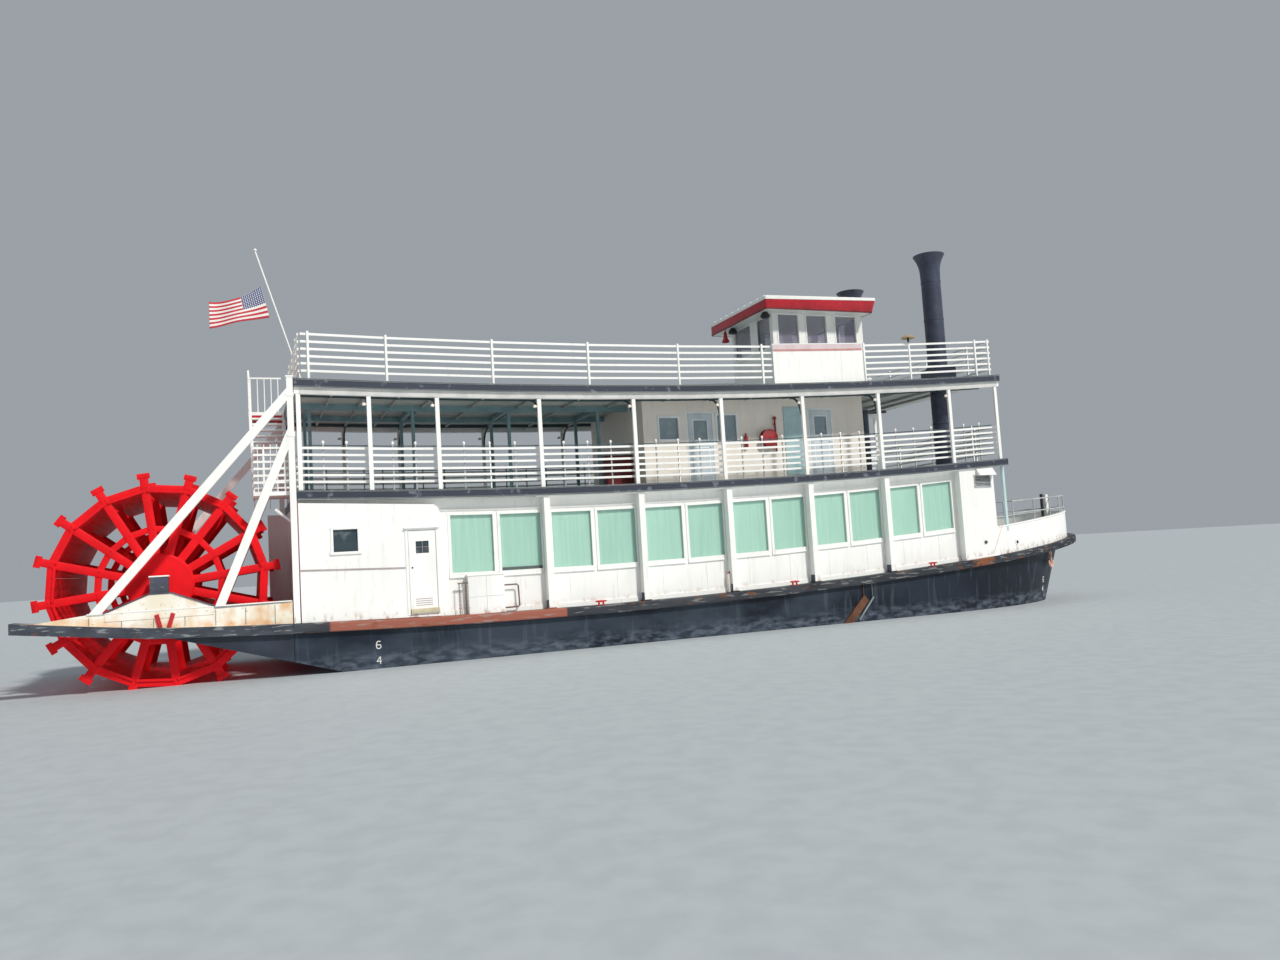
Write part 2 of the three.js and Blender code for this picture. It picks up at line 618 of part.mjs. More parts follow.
// Two girders over rows of posts along the open second deck, tied by a bar across at each pair of posts
const GIRDER_Y = 1000;
const POST_XS = [-3, -2, -1, 0].map((i) => -1850 + i * BAY);
const girders = [-1, 1].map((s) =>
  strip(-9900, CABIN_AFT - 5, s * (GIRDER_Y - 55), s * (GIRDER_Y + 55), above(sunUnder, -150), sunUnder),
);
const deckPosts = POST_XS.flatMap((x) =>
  [-1, 1].map((s) =>
    box(x - 40, x + 40, s * (GIRDER_Y - 40), s * (GIRDER_Y + 40), secondTop(x) + 2, sunUnder(x) - 100),
  ),
);
const ties = POST_XS.map((x) =>
  box(x - 45, x + 45, -GIRDER_Y, GIRDER_Y, sunUnder(x) - 130, sunUnder(x) - 30),
);
place("middle_girder", join([...girders, ...deckPosts, ...ties]), doorBlue);

// Pilothouse
const HOUSE = { aft: 3880, fore: 7150, half: 1330, wall: 60 };
const HOUSE_SILL = 9480;
const HOUSE_HEAD = 10490;
const ROOF = { aft: 3390, fore: 7350, foreLow: 7200, half: 1860, low: 10460, high: 10860 };
const ROOF_BAND = 130;
const HOUSE_DOOR = { aft: 4050, fore: 4750, low: 8060, high: 10060 };
const SIDE_PANES = [[4080, 4790], [5090, 5800], [6150, 6890]];
const END_PANES = [[-1160, -90], [90, 1160]];
const houseIn = HOUSE.half - HOUSE.wall;
const outer = strip(HOUSE.aft, HOUSE.fore, -HOUSE.half, HOUSE.half, above(sunTop), () => ROOF.low - GAP);
const hollow = box(HOUSE.aft + HOUSE.wall, HOUSE.fore - HOUSE.wall, -houseIn, houseIn, 0, 12000);
const starboardPanes = SIDE_PANES.map(([a, b]) => box(a, b, -2000, 0, HOUSE_SILL, HOUSE_HEAD - 60));
const portPanes = SIDE_PANES.slice(1).map(([a, b]) => box(a, b, 0, 2000, HOUSE_SILL, HOUSE_HEAD - 60));
const endPanes = END_PANES.map(([a, b]) => box(3000, 8000, a, b, HOUSE_SILL, HOUSE_HEAD - 60));
const doorway = box(HOUSE_DOOR.aft, HOUSE_DOOR.fore, 1000, 2000, HOUSE_DOOR.low, HOUSE_DOOR.high);
const house = cut(outer, [hollow, ...starboardPanes, ...portPanes, ...endPanes, doorway]);
const portBand = (from) => box(3000, 8000, from, 2000, 7000, 12000);
place("pilothouse_walls", house.subtract(portBand(houseIn)), white);
place("pilothouse_port_wall", house.intersect(portBand(houseIn + GAP)), white);

const glassOut = HOUSE.wall + GAP;
const glassIn = glassOut + 8;
function ring(inset) {
  const half = HOUSE.half - inset;
  return box(HOUSE.aft + inset, HOUSE.fore - inset, -half, half, HOUSE_SILL - 30, HOUSE_HEAD - 30);
}
const pastDoor = box(HOUSE_DOOR.aft - 20, HOUSE_DOOR.fore + 20, 1000, 2000, 9000, 12000);
place("pilothouse_glass", cut(ring(glassOut), [ring(glassIn), pastDoor]), glass);

const houseLeaf = new THREE.Group();
houseLeaf.position.set(HOUSE_DOOR.fore - 8, HOUSE.half + HINGE_OUT, 0);
boat.add(houseLeaf);
const houseDoor = box(
  -(HOUSE_DOOR.fore - HOUSE_DOOR.aft - 16), 0, -52, -7, HOUSE_DOOR.low + 8, HOUSE_DOOR.high - 8);
place("pilothouse_door", houseDoor.subtract(box(-540, -150, -100, 100, 9400, 9900)), white, houseLeaf);

const ROOF_CROWN = 70;
const roofEdge = sidePrism(
  [
    [ROOF.aft, ROOF.low],
    [ROOF.foreLow, ROOF.low],
    [ROOF.fore, ROOF.high - ROOF_BAND],
    [ROOF.fore, ROOF.high],
    [ROOF.aft, ROOF.high],
  ],
  -ROOF.half,
  ROOF.half,
);
const roofCrown = frontPrism(
  [[-ROOF.half + 100, ROOF.high - 5], [ROOF.half - 100, ROOF.high - 5], [0, ROOF.high + ROOF_CROWN]],
  ROOF.aft + 100,
  ROOF.fore - 100,
);
place("pilothouse_roof", join([roofEdge, roofCrown]), roofRed);

// Bow: bulwark with its posts to the second deck, and the pipe rail above it
const BULWARK_AFT = 10230;
const bulwarkTop = (x) => 3495 + 0.095 * (x - BULWARK_AFT);
const bulwarkOut = planPrism(bowPlan(8000, 8500, 15480, EDGE_HALF), 0, 6000);
const bulwarkIn = planPrism(bowPlan(7900, 8500, 15400, EDGE_HALF - 70), -10, 6010);
const bulwarkBand = strip(BULWARK_AFT, 15600, -4000, 4000, above(mainTop), bulwarkTop);
const bowPosts = SIDES.map(({ s }) =>
  box(10720, 10790, s * 2960, s * 3040, 3400, secondUnder(10720) - 1),
);
place("bow_bulwark", join([bulwarkOut.subtract(bulwarkIn).intersect(bulwarkBand), ...bowPosts]), white);

const bowRailHalf = (x) => bowHalf(x, 8500, 15440, EDGE_HALF - 35);
const RAIL_XS = [11100, 12200, 13200, 14000, 14700, 15150];
const railZ = (x) => 4310 + 0.048 * (x - 11100);
function bowRailPath(drop) {
  const port = RAIL_XS.map((x) => [x, bowRailHalf(x), railZ(x) - drop]);
  const starboard = port.map(([x, y, z]) => [x, -y, z]).reverse();
  return [...port, [15395, 0, railZ(15395) - drop], ...starboard];
}
const railPosts = [11100, 13200, 14700].flatMap((x) =>
  [-1, 1].map((s) => {
    const y = s * bowRailHalf(x);
    return box(x - 18, x + 18, y - 18, y + 18, bulwarkTop(x + 18) + GAP, railZ(x));
  }),
);
place("bow_rail", join([pipe(bowRailPath(0), 24), pipe(bowRailPath(380), 20), ...railPosts]), white);

// Stern stair: platform at the second deck, flight across the stern, landing at the sun deck
const STAIR = { aft: -11060, fore: DECK_AFT - GAP, low: -1900, high: 1900, half: 3080 };
const platformZ = secondTop(DECK_AFT);
const landingZ = sunTop(DECK_AFT);
const TREADS = 12;
const rise = (landingZ - platformZ) / (TREADS + 1);
const run = (STAIR.high - STAIR.low) / TREADS;
const platform = box(STAIR.aft, STAIR.fore, -STAIR.half, STAIR.low + 40, platformZ - 90, platformZ);
const landing = box(STAIR.aft, STAIR.fore, STAIR.high - 40, STAIR.half, landingZ - 90, landingZ);
const stringers = [STAIR.aft + 30, STAIR.fore - 30].map((x) =>
  bar([x, STAIR.low - 40, platformZ - 20], [x, STAIR.high + 30, landingZ - 60], 50, 200),
);
const treads = Array.from({ length: TREADS }, (_, i) =>
  box(
    STAIR.aft + 10, STAIR.fore - 10, STAIR.low + i * run - 20, STAIR.low + (i + 1) * run,
    platformZ + (i + 1) * rise - 40, platformZ + (i + 1) * rise),
);
place("stern_stair", join([platform, landing, ...stringers, ...treads]), white);

// Rails of the stair: barred at the platform, balusters at the landing, hand rails along the flight
const guardX = STAIR.aft + 30;
const lowGuard = [
  ...SECOND_RAILS.flatMap((h) => [
    box(STAIR.aft + 10, STAIR.fore, -3070, -3040, platformZ + h - 50, platformZ + h),
    box(guardX - 15, guardX + 15, -3070, -2000, platformZ + h - 50, platformZ + h),
  ]),
  ...between(STAIR.aft, STAIR.fore, 2).map((x) =>
    box(x - 15, x + 15, -3065, -3045, platformZ + GAP, platformZ + 1040),
  ),
  box(guardX - 20, guardX + 20, -2040, -2000, platformZ + GAP, platformZ + 1040),
];
const hand = bar([guardX, -2010, platformZ + 1010], [guardX, 1990, landingZ + 1160], 50, 40);
const highGuard = [
  ...[1200, 100].flatMap((h) => [
    box(guardX - 20, guardX + 20, 1960, 3070, landingZ + h - 45, landingZ + h),
    box(STAIR.aft + 10, STAIR.fore, 3030, 3070, landingZ + h - 45, landingZ + h),
  ]),
  ...between(1960, 3070, 8).map((y) =>
    box(guardX - 12, guardX + 12, y - 12, y + 12, landingZ + GAP, landingZ + 1170),
  ),
  ...between(STAIR.aft, STAIR.fore, 5).map((x) =>
    box(x - 12, x + 12, 3038, 3062, landingZ + GAP, landingZ + 1170),
  ),
];
place("stern_stair_rail", join([...lowGuard, hand, ...highGuard]), white);

// Flagstaff and flag
const STAFF_FOOT = [-9580, 0, sunTop(-9580) + 12];
const STAFF_TOP = [-10790, 0, 11900];
place("flagstaff", rod(STAFF_FOOT, STAFF_TOP, 22, 10), white);
// The hoist edge runs beside the staff and the fly droops: top and foot are lines over the share of length
const FLAG = { topX: -10676, lowX: -10489, fly: -11944, wave: 60, thick: 30 };
const flagTop = (share) => 10513 + 479 * (1 - share) ** 2.2;
const flagFoot = (share) => 10147 - 337 * share + 30 * Math.sin(Math.PI * share);
const flagCloth = new THREE.BoxGeometry(1, 1, 1, 12, 1, 1);
const flagPoints = flagCloth.getAttribute("position");
for (let i = 0; i < flagPoints.count; i++) {
  const share = 0.5 - flagPoints.getX(i);
  const height = flagPoints.getZ(i) + 0.5;
  const hoist = FLAG.lowX + (FLAG.topX - FLAG.lowX) * height;
  flagPoints.setXYZ(
    i,
    hoist + (FLAG.fly - hoist) * share,
    FLAG.wave * share * Math.sin(share * 3 * Math.PI) + FLAG.thick * flagPoints.getY(i),
    flagFoot(share) + (flagTop(share) - flagFoot(share)) * height,
  );
}
place("flag", solid(flagCloth), cloth);

export default boat;
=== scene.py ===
# A sternwheel excursion boat afloat: finishes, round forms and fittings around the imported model.
# Metres, X forward, Y to port, Z up. The pale floor lies at the waterline, where the water would be.
import json
import math

import bpy
import numpy as np
from mathutils import Matrix, Vector


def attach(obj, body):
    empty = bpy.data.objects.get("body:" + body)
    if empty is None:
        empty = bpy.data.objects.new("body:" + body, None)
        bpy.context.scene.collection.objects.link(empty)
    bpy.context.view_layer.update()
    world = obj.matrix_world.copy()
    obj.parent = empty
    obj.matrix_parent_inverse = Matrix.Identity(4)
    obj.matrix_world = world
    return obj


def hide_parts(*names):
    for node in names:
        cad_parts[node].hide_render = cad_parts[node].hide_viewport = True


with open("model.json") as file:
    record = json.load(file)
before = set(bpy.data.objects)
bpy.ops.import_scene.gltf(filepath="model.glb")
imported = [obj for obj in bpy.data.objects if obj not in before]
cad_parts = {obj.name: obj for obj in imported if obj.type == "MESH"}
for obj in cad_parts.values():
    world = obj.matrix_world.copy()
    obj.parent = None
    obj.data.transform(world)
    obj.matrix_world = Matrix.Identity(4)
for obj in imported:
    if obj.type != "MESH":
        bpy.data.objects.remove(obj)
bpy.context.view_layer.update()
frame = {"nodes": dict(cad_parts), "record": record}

# Driving dimensions, as on the boat's frame
WATERLINE = 1.05
END_X = 15.85
STERN_X = -10.3
BAY = 2.6
SALOON_AFT = -6.8
COLUMNS = [-10.03, -8.43] + [SALOON_AFT + BAY * i for i in range(7)] + [10.59]
RUB_HALF = 3.3
EDGE_HALF = 3.2
TRIM_HALF = EDGE_HALF + 0.012
WALL_HALF = 2.95
DECK_HALF = 3.25
CABIN_HALF = 2.15
RUB_DEPTH = 0.23
DECK_PLATE = 0.22
STOREY = 2.63
SMOOTH_ANGLE = 35
SIDES = {"starboard": -1, "port": 1}
WHEEL_X = -13.05
WHEEL_Z = 3.32

# Sheer: the decks follow flat parabolas about one low point, in straight runs between knots
KNOTS = np.arange(-6, 7) * END_X / 6
SHEER_X = -3.47
# Each deck's height at the low point, and its rise per square metre of distance from it
MAIN_LINE = (2.12, 2.9e-3)
SECOND_LINE = (5.20, 2.2e-3)


def sheer(x, low, rise):
    """Height over x of a deck line: low plus rise times the square of the distance from the low point."""
    return np.interp(x, KNOTS, low + rise * (KNOTS - SHEER_X) ** 2)


def main_top(x):
    """Height of the main deck's top over x."""
    return sheer(x, *MAIN_LINE)


def second_top(x):
    """Height of the second deck's top over x."""
    return sheer(x, *SECOND_LINE)


def sun_top(x):
    """Height of the sun deck's top over x: one storey above the second deck's."""
    return second_top(x) + STOREY


def above(line, height):
    """The line over x that lies that height above another."""
    return lambda x: line(x) + height


def level(height):
    """The line over x that stays at one height."""
    return lambda x: height + 0 * x


def slope(start, height, rise):
    """The straight line over x that has a height at start and climbs from there by rise per metre."""
    return lambda x: height + rise * (x - start)


def both_sides(build):
    """Builds what stands on either side: to starboard, where Y's sign s is -1, and to port, where it is 1."""
    for side, s in SIDES.items():
        build(side, s)


# Closed forms. A form is an array of points and a list of arrays of faces, one array per number of corners
def rings(points, loop=False):
    """A skin of quads through rings with the same number of points; its ends are flat caps, or joined up."""
    count, around = points.shape[:2]
    rows = np.arange(count if loop else count - 1)
    a, b = np.meshgrid(rows, np.arange(around), indexing="ij")
    c, d = (a + 1) % count, (b + 1) % around
    quads = np.stack([a * around + b, a * around + d, c * around + d, c * around + b], -1).reshape(-1, 4)
    groups = [quads]
    if not loop:
        groups += [np.arange(around)[None, ::-1], np.arange((count - 1) * around, count * around)[None]]
    return outward(points.reshape(-1, 3).astype(float), groups)


def outward(points, groups):
    """The same closed form with its faces out.

    Its volume, summed over the fans of triangles in each face, is then positive."""
    volume = 0.0
    for faces in groups:
        first = points[faces[:, 0]]
        for k in range(1, faces.shape[1] - 1):
            fans = np.cross(points[faces[:, k]], points[faces[:, k + 1]])
            volume += float((first * fans).sum())
    if volume < 0:
        groups = [faces[:, ::-1] for faces in groups]
    return points, groups


def merge(forms):
    """Several closed forms as one."""
    starts = np.cumsum([0] + [len(points) for points, _ in forms[:-1]])
    points = np.concatenate([points for points, _ in forms])
    groups = [faces + start for (_, groups), start in zip(forms, starts) for faces in groups]
    return points, groups


def moved(form, matrix=None, shift=(0, 0, 0)):
    """A form turned by a 3 by 3 matrix and then shifted."""
    points, groups = form
    if matrix is not None:
        points = points @ np.asarray(matrix).T
    return points + np.asarray(shift, float), groups


def rounded(width, depth, edge, steps=2):
    """Outline of a rectangle about its middle, its corners quarter circles of radius edge."""
    turn = np.linspace(0, math.pi / 2, steps + 1)
    corners = []
    for i, (a, b) in enumerate(((1, 1), (-1, 1), (-1, -1), (1, -1))):
        angle = turn + i * math.pi / 2
        x = a * (width / 2 - edge) + edge * np.cos(angle)
        y = b * (depth / 2 - edge) + edge * np.sin(angle)
        corners.append(np.stack([x, y], -1))
    return np.concatenate(corners)


def circle(radius, sides=12):
    """A round outline about its middle, as a polygon."""
    angle = np.linspace(0, 2 * math.pi, sides, endpoint=False)
    return radius * np.stack([np.cos(angle), np.sin(angle)], -1)


def sweep(profile, path, up=(0, 0, 1), loop=False):
    """A closed outline carried along a path: each ring is square to the path, its second axis towards up."""
    path = np.asarray(path, float)
    if loop:
        way = np.roll(path, -1, 0) - np.roll(path, 1, 0)
    else:
        way = np.gradient(path, axis=0)
    way /= np.linalg.norm(way, axis=1, keepdims=True)
    across = np.cross(way, np.asarray(up, float))
    across /= np.linalg.norm(across, axis=1, keepdims=True)
    top = np.cross(across, way)
    offsets = profile[None, :, :1] * across[:, None] + profile[None, :, 1:] * top[:, None]
    return rings(path[:, None] + offsets, loop)


def bar(a, b, width, depth, edge=0.004, up=(0, 0, 1)):
    """A straight bar from a to b with rounded long edges; depth is measured towards up."""
    way = np.asarray(b, float) - np.asarray(a, float)
    if abs(np.dot(way, up)) > 0.999 * np.linalg.norm(way):
        up = (1, 0, 0)
    return sweep(rounded(width, depth, edge), [a, b], up)


def rod(a, b, radius, sides=12):
    """A round bar from a to b."""
    way = np.asarray(b, float) - np.asarray(a, float)
    up = (1, 0, 0) if abs(way[2]) > 0.9 * np.linalg.norm(way) else (0, 0, 1)
    return sweep(circle(radius, sides), [a, b], up)


def block(x0, x1, y0, y1, z0, z1, edge=0.004):
    """A box between two corners with the edges along its longest side rounded."""
    size = (x1 - x0, abs(y1 - y0), z1 - z0)
    mid = ((x0 + x1) / 2, (y0 + y1) / 2, (z0 + z1) / 2)
    long = int(np.argmax(size))
    half = np.eye(3)[long] * size[long] / 2
    up = (1, 0, 0) if long == 2 else (0, 0, 1)
    width, depth = ((size[1], size[2]), (size[0], size[2]), (size[1], size[0]))[long]
    edge = min(edge, width / 2.5, depth / 2.5)
    return sweep(rounded(width, depth, edge), [mid - half, mid + half], up)


def lathe(profile, centre, axis="Z", sides=32, loop=False):
    """A profile of (radius, height) points turned about an axis; its ends are closed flat, or joined up."""
    profile = np.asarray(profile, float)
    angle = np.linspace(0, 2 * math.pi, sides, endpoint=False)
    round_way = np.stack([np.cos(angle), np.sin(angle), np.zeros(sides)], -1)
    points = profile[:, None, :1] * round_way + profile[:, None, 1:] * np.array([0, 0, 1.0])
    turn = {"Z": np.eye(3), "X": np.eye(3)[[2, 0, 1]], "Y": np.eye(3)[[1, 2, 0]]}[axis]
    return moved(rings(points, loop), turn, centre)


def strip(x0, x1, y0, y1, low, high):
    """A bar along x between two lines over x, from y0 to y1, with a ring at each knot of the sheer."""
    xs = np.array([x0, *KNOTS[(KNOTS > x0 + 0.001) & (KNOTS < x1 - 0.001)], x1])
    under, over = low(xs), high(xs)
    ring = [
        (xs, y0 + 0 * xs, under), (xs, y1 + 0 * xs, under), (xs, y1 + 0 * xs, over), (xs, y0 + 0 * xs, over)
    ]
    return rings(np.stack([np.stack(corner, -1) for corner in ring], 1))


def piece(name, forms, material, body="boat"):
    """A mesh object at the origin made of closed forms, on a body; smooth where faces meet under an angle."""
    points, groups = merge(forms)
    mesh = bpy.data.meshes.new(name)
    mesh.from_pydata(points.tolist(), [], [face for faces in groups for face in faces.tolist()])
    mesh.shade_smooth()
    mesh.set_sharp_from_angle(angle=math.radians(SMOOTH_ANGLE))
    mesh.materials.append(material)
    made = bpy.data.objects.new(name, mesh)
    bpy.context.scene.collection.objects.link(made)
    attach(made, body)
    return made


# Finishes
TIP_RISE = 0.138
CEILING_BOARD = 0.6
CEILING_SEAM = 1 / 15


def linear(hex_colour):
    """An sRGB hex colour as linear red, green, blue and alpha."""
    parts = [int(hex_colour[i : i + 2], 16) / 255 for i in (0, 2, 4)]
    return [c / 12.92 if c <= 0.04045 else ((c + 0.055) / 1.055) ** 2.4 for c in parts] + [1.0]


def add(tree, kind, inputs=(), **properties):
    """Adds a shader node and sets its properties and inputs: a socket is linked, any other value is set."""
    made = tree.nodes.new("ShaderNode" + kind)
    for name, value in properties.items():
        setattr(made, name, value)
    for name, value in dict(inputs).items():
        if isinstance(value, bpy.types.NodeSocket):
            tree.links.new(value, made.inputs[name])
        else:
            made.inputs[name].default_value = value
    return made


def begin(name, roughness, metallic=0.0):
    """A new material: its tree, its shader with its even settings, and the Object coordinates."""
    material = bpy.data.materials.new(name)
    material.use_nodes = True
    tree = material.node_tree
    shader = tree.nodes["Principled BSDF"]
    shader.inputs["Roughness"].default_value = roughness
    shader.inputs["Metallic"].default_value = metallic
    place = add(tree, "TexCoord").outputs["Object"]
    return material, tree, shader, place


def patches(tree, place, size, threshold, soft=0.1, stretch=(1, 1, 1)):
    """A factor that is 1 on patches about size metres across, 0 off them; a higher threshold leaves fewer."""
    scaled = add(tree, "Mapping", {"Vector": place, "Scale": [s / size for s in stretch]})
    noise = add(tree, "TexNoise", {"Vector": scaled.outputs[0], "Scale": 1.0, "Detail": 4.0})
    edge = {"Value": noise.outputs[0], "From Min": threshold, "From Max": threshold + soft}
    return add(tree, "MapRange", edge).outputs[0]


def coat(tree, under, colour, *factors):
    """One colour over another by the product of the factors. A colour is a hex value or a socket."""
    under, colour = (linear(c) if isinstance(c, str) else c for c in (under, colour))
    share = factors[0]
    for factor in factors[1:]:
        share = add(tree, "Math", {0: share, 1: factor}, operation="MULTIPLY").outputs[0]
    return add(tree, "Mix", {0: share, 6: under, 7: colour}, data_type="RGBA").outputs[2]


def within(tree, value, low, high, soft):
    """A factor that is 1 where a value lies between two bounds, and falls to 0 over soft outside them."""
    rise = add(tree, "MapRange", {"Value": value, "From Min": low - soft, "From Max": low})
    fall = add(
        tree,
        "MapRange",
        {"Value": value, "From Min": high, "From Max": high + soft, "To Min": 1, "To Max": 0},
    )
    return add(tree, "Math", {0: rise.outputs[0], 1: fall.outputs[0]}, operation="MULTIPLY").outputs[0]


def painted(material, tree, shader, place, base, size, height):
    """The material with its colour, and with fine relief of grains about size across and height deep."""
    noise = add(tree, "TexNoise", {"Vector": place, "Scale": 1 / size, "Detail": 3.0})
    bump = add(tree, "Bump", {"Height": noise.outputs[0], "Distance": height, "Strength": 1.0})
    tree.links.new(base, shader.inputs["Base Color"])
    tree.links.new(bump.outputs[0], shader.inputs["Normal"])
    return material


def deck_height(tree, place, low, rise):
    """Height above a deck line: Z less low less rise times the square of the distance from the low point."""
    axes = add(tree, "SeparateXYZ", {0: place})
    out = add(tree, "Math", {0: axes.outputs[0], 1: SHEER_X}, operation="SUBTRACT")
    square = add(tree, "Math", {0: out.outputs[0], 1: out.outputs[0]}, operation="MULTIPLY")
    line = add(tree, "Math", {0: square.outputs[0], 1: rise, 2: low}, operation="MULTIPLY_ADD")
    left = add(tree, "Math", {0: axes.outputs[2], 1: line.outputs[0]}, operation="SUBTRACT")
    return left.outputs[0], axes


def enamel(name, colour, shade, roughness, grime, rust, rust_low=None):
    """Brush-rolled alkyd enamel on steel: a soft gloss, cloudy tone, run-down grime and weeping rust."""
    material, tree, shader, place = begin(name, roughness)
    base = coat(tree, colour, shade, patches(tree, place, 1.4, 0.35, 0.35), 0.55)
    base = coat(tree, base, "8E8578", patches(tree, place, 0.16, 0.5, 0.25, (1, 1, 0.12)), grime * 0.5)
    base = coat(tree, base, "8A4A28", patches(tree, place, 0.09, 0.62, 0.12, (1, 1, 0.16)), rust)
    if rust_low:
        height, _ = deck_height(tree, place, *rust_low)
        speck = patches(tree, place, 0.12, 0.5, 0.12, (1, 1, 0.5))
        base = coat(tree, base, "A0643C", within(tree, height, -0.1, 0.02, 0.22), speck, 0.6)
    return painted(material, tree, shader, place, base, 0.012, 0.0004)


def hull_navy():
    """Bituminous navy hull paint: dull, scuffed, greyed by salt over the water, streaked by overboard water,
    and left darker at the bow as painted shade.

    Aft of the stern it is nearly black, which stands for the shade under the raked stern."""
    material, tree, shader, place = begin("hull_navy_paint", 0.48)
    shader.inputs["Specular IOR Level"].default_value = 0.25
    axes = add(tree, "SeparateXYZ", {0: place})
    base = coat(tree, "121A26", "1D2735", patches(tree, place, 1.1, 0.4, 0.3))
    # Lighter scuffed grey over the middle and aft, fading out before the bow: partly wear, partly painted
    # shade that keeps the bow darker
    worn = add(tree, "MapRange", {"Value": axes.outputs[0], "From Min": 9.0, "From Max": 2.0})
    base = coat(tree, base, "3A4450", worn.outputs[0], patches(tree, place, 0.9, 0.36, 0.2, (0.5, 1, 1)), 0.8)
    salt = within(tree, axes.outputs[2], 0.9, 1.22, 0.3)
    base = coat(tree, base, "6B7583", salt, patches(tree, place, 0.35, 0.42, 0.25, (1, 1, 2.5)), 0.7)
    base = coat(tree, base, "59626E", patches(tree, place, 0.14, 0.56, 0.15, (1, 1, 0.1)), 0.35)
    base = coat(tree, base, "2B332B", within(tree, axes.outputs[2], 0.2, 1.0, 0.1), 0.6)
    base = coat(tree, base, "07090D", within(tree, axes.outputs[0], -END_X, STERN_X, 0.03), 0.85)
    return painted(material, tree, shader, place, base, 0.05, 0.002)


def guard_grey():
    """Rubbing-strake paint, scraped to rusty steel at landings, with a red-brown repainted length aft."""
    material, tree, shader, place = begin("guard_grey_paint", 0.62)
    shader.inputs["Specular IOR Level"].default_value = 0.2
    axes = add(tree, "SeparateXYZ", {0: place})
    base = coat(tree, "2C2F35", "474A4F", patches(tree, place, 0.5, 0.38, 0.3, (0.4, 1, 1)))
    height, _ = deck_height(tree, place, *MAIN_LINE)
    red = within(tree, axes.outputs[0], -9.48, -3.82, 0.05)
    base = coat(tree, base, "A46250", red, within(tree, height, -0.2, 0.3, 0.02), 0.9)
    base = coat(tree, base, "9C9A96", patches(tree, place, 0.16, 0.58, 0.06, (0.35, 1, 2.5)), 0.5)
    base = coat(tree, base, "7A4A32", patches(tree, place, 0.22, 0.6, 0.08, (0.5, 1, 1.5)), 0.7)
    landing = within(tree, axes.outputs[0], 9.18, 9.87, 0.15)
    base = coat(tree, base, "8A5234", landing, patches(tree, place, 0.1, 0.4, 0.1), 0.9)
    return painted(material, tree, shader, place, base, 0.03, 0.002)


def outrigger_coat():
    """Enamel in three coats by height: chalky cream over rust on the bulwark, scraped slate, navy below."""
    material, tree, shader, place = begin("outrigger_enamel", 0.5)
    height, axes = deck_height(tree, place, *MAIN_LINE)
    tip = {"Value": axes.outputs[0], "From Min": -13.2, "From Max": -END_X, "To Max": TIP_RISE}
    lift = add(tree, "MapRange", tip).outputs[0]
    height = add(tree, "Math", {0: height, 1: lift}, operation="SUBTRACT").outputs[0]
    cream = coat(tree, "FAF6EC", "F0E6D0", patches(tree, place, 0.6, 0.4, 0.25))
    cream = coat(tree, cream, "E0B070", patches(tree, place, 0.3, 0.5, 0.2, (1, 1, 0.6)), 0.5)
    cream = coat(tree, cream, "9A6A3A", patches(tree, place, 0.06, 0.66, 0.05), 0.6)
    fore = within(tree, axes.outputs[0], -10.9, -10.2, 0.35)
    cream = coat(tree, cream, "E09A50", fore, patches(tree, place, 0.25, 0.42, 0.2, (1, 1, 0.8)), 0.6)
    foot = within(tree, height, 0.0, 0.06, 0.12)
    cream = coat(tree, cream, "E0A45C", foot, patches(tree, place, 0.35, 0.42, 0.2), 0.6)
    slate = coat(tree, "343A44", "474D57", patches(tree, place, 0.3, 0.42, 0.25, (0.5, 1, 1)))
    slate = coat(tree, slate, "A3A6A6", patches(tree, place, 0.1, 0.58, 0.06, (0.3, 1, 2)), 0.6)
    slate = coat(tree, slate, "74492F", patches(tree, place, 0.14, 0.63, 0.08), 0.5)
    navy = coat(tree, "1F2734", "2E3847", patches(tree, place, 0.5, 0.4, 0.3))
    upper = add(tree, "MapRange", {"Value": height, "From Min": 0.0, "From Max": 0.006})
    lower = add(tree, "MapRange", {"Value": height, "From Min": -0.236, "From Max": -0.231})
    base = coat(tree, coat(tree, navy, slate, lower.outputs[0]), cream, upper.outputs[0])
    return painted(material, tree, shader, place, base, 0.02, 0.001)


def wheel_enamel():
    """Bright red enamel on planks and steel, dulled by water, darker in streaks at the tips, and chipped."""
    material, tree, shader, place = begin("wheel_red_enamel", 0.6)
    shader.inputs["Specular IOR Level"].default_value = 0.2
    centre = add(tree, "Mapping", {"Vector": place, "Location": (-WHEEL_X, 0, -WHEEL_Z), "Scale": (1, 0, 1)})
    radius = add(tree, "VectorMath", {0: centre.outputs[0]}, operation="LENGTH")
    base = coat(tree, "F0121E", "DE101C", patches(tree, place, 0.5, 0.4, 0.25))
    wet = add(tree, "MapRange", {"Value": radius.outputs["Value"], "From Min": 2.05, "From Max": 2.6})
    base = coat(tree, base, "8A0E16", wet.outputs[0], patches(tree, place, 0.18, 0.45, 0.2), 0.4)
    base = coat(tree, base, "5A3428", patches(tree, place, 0.05, 0.68, 0.03), 0.4)
    return painted(material, tree, shader, place, base, 0.02, 0.0008)


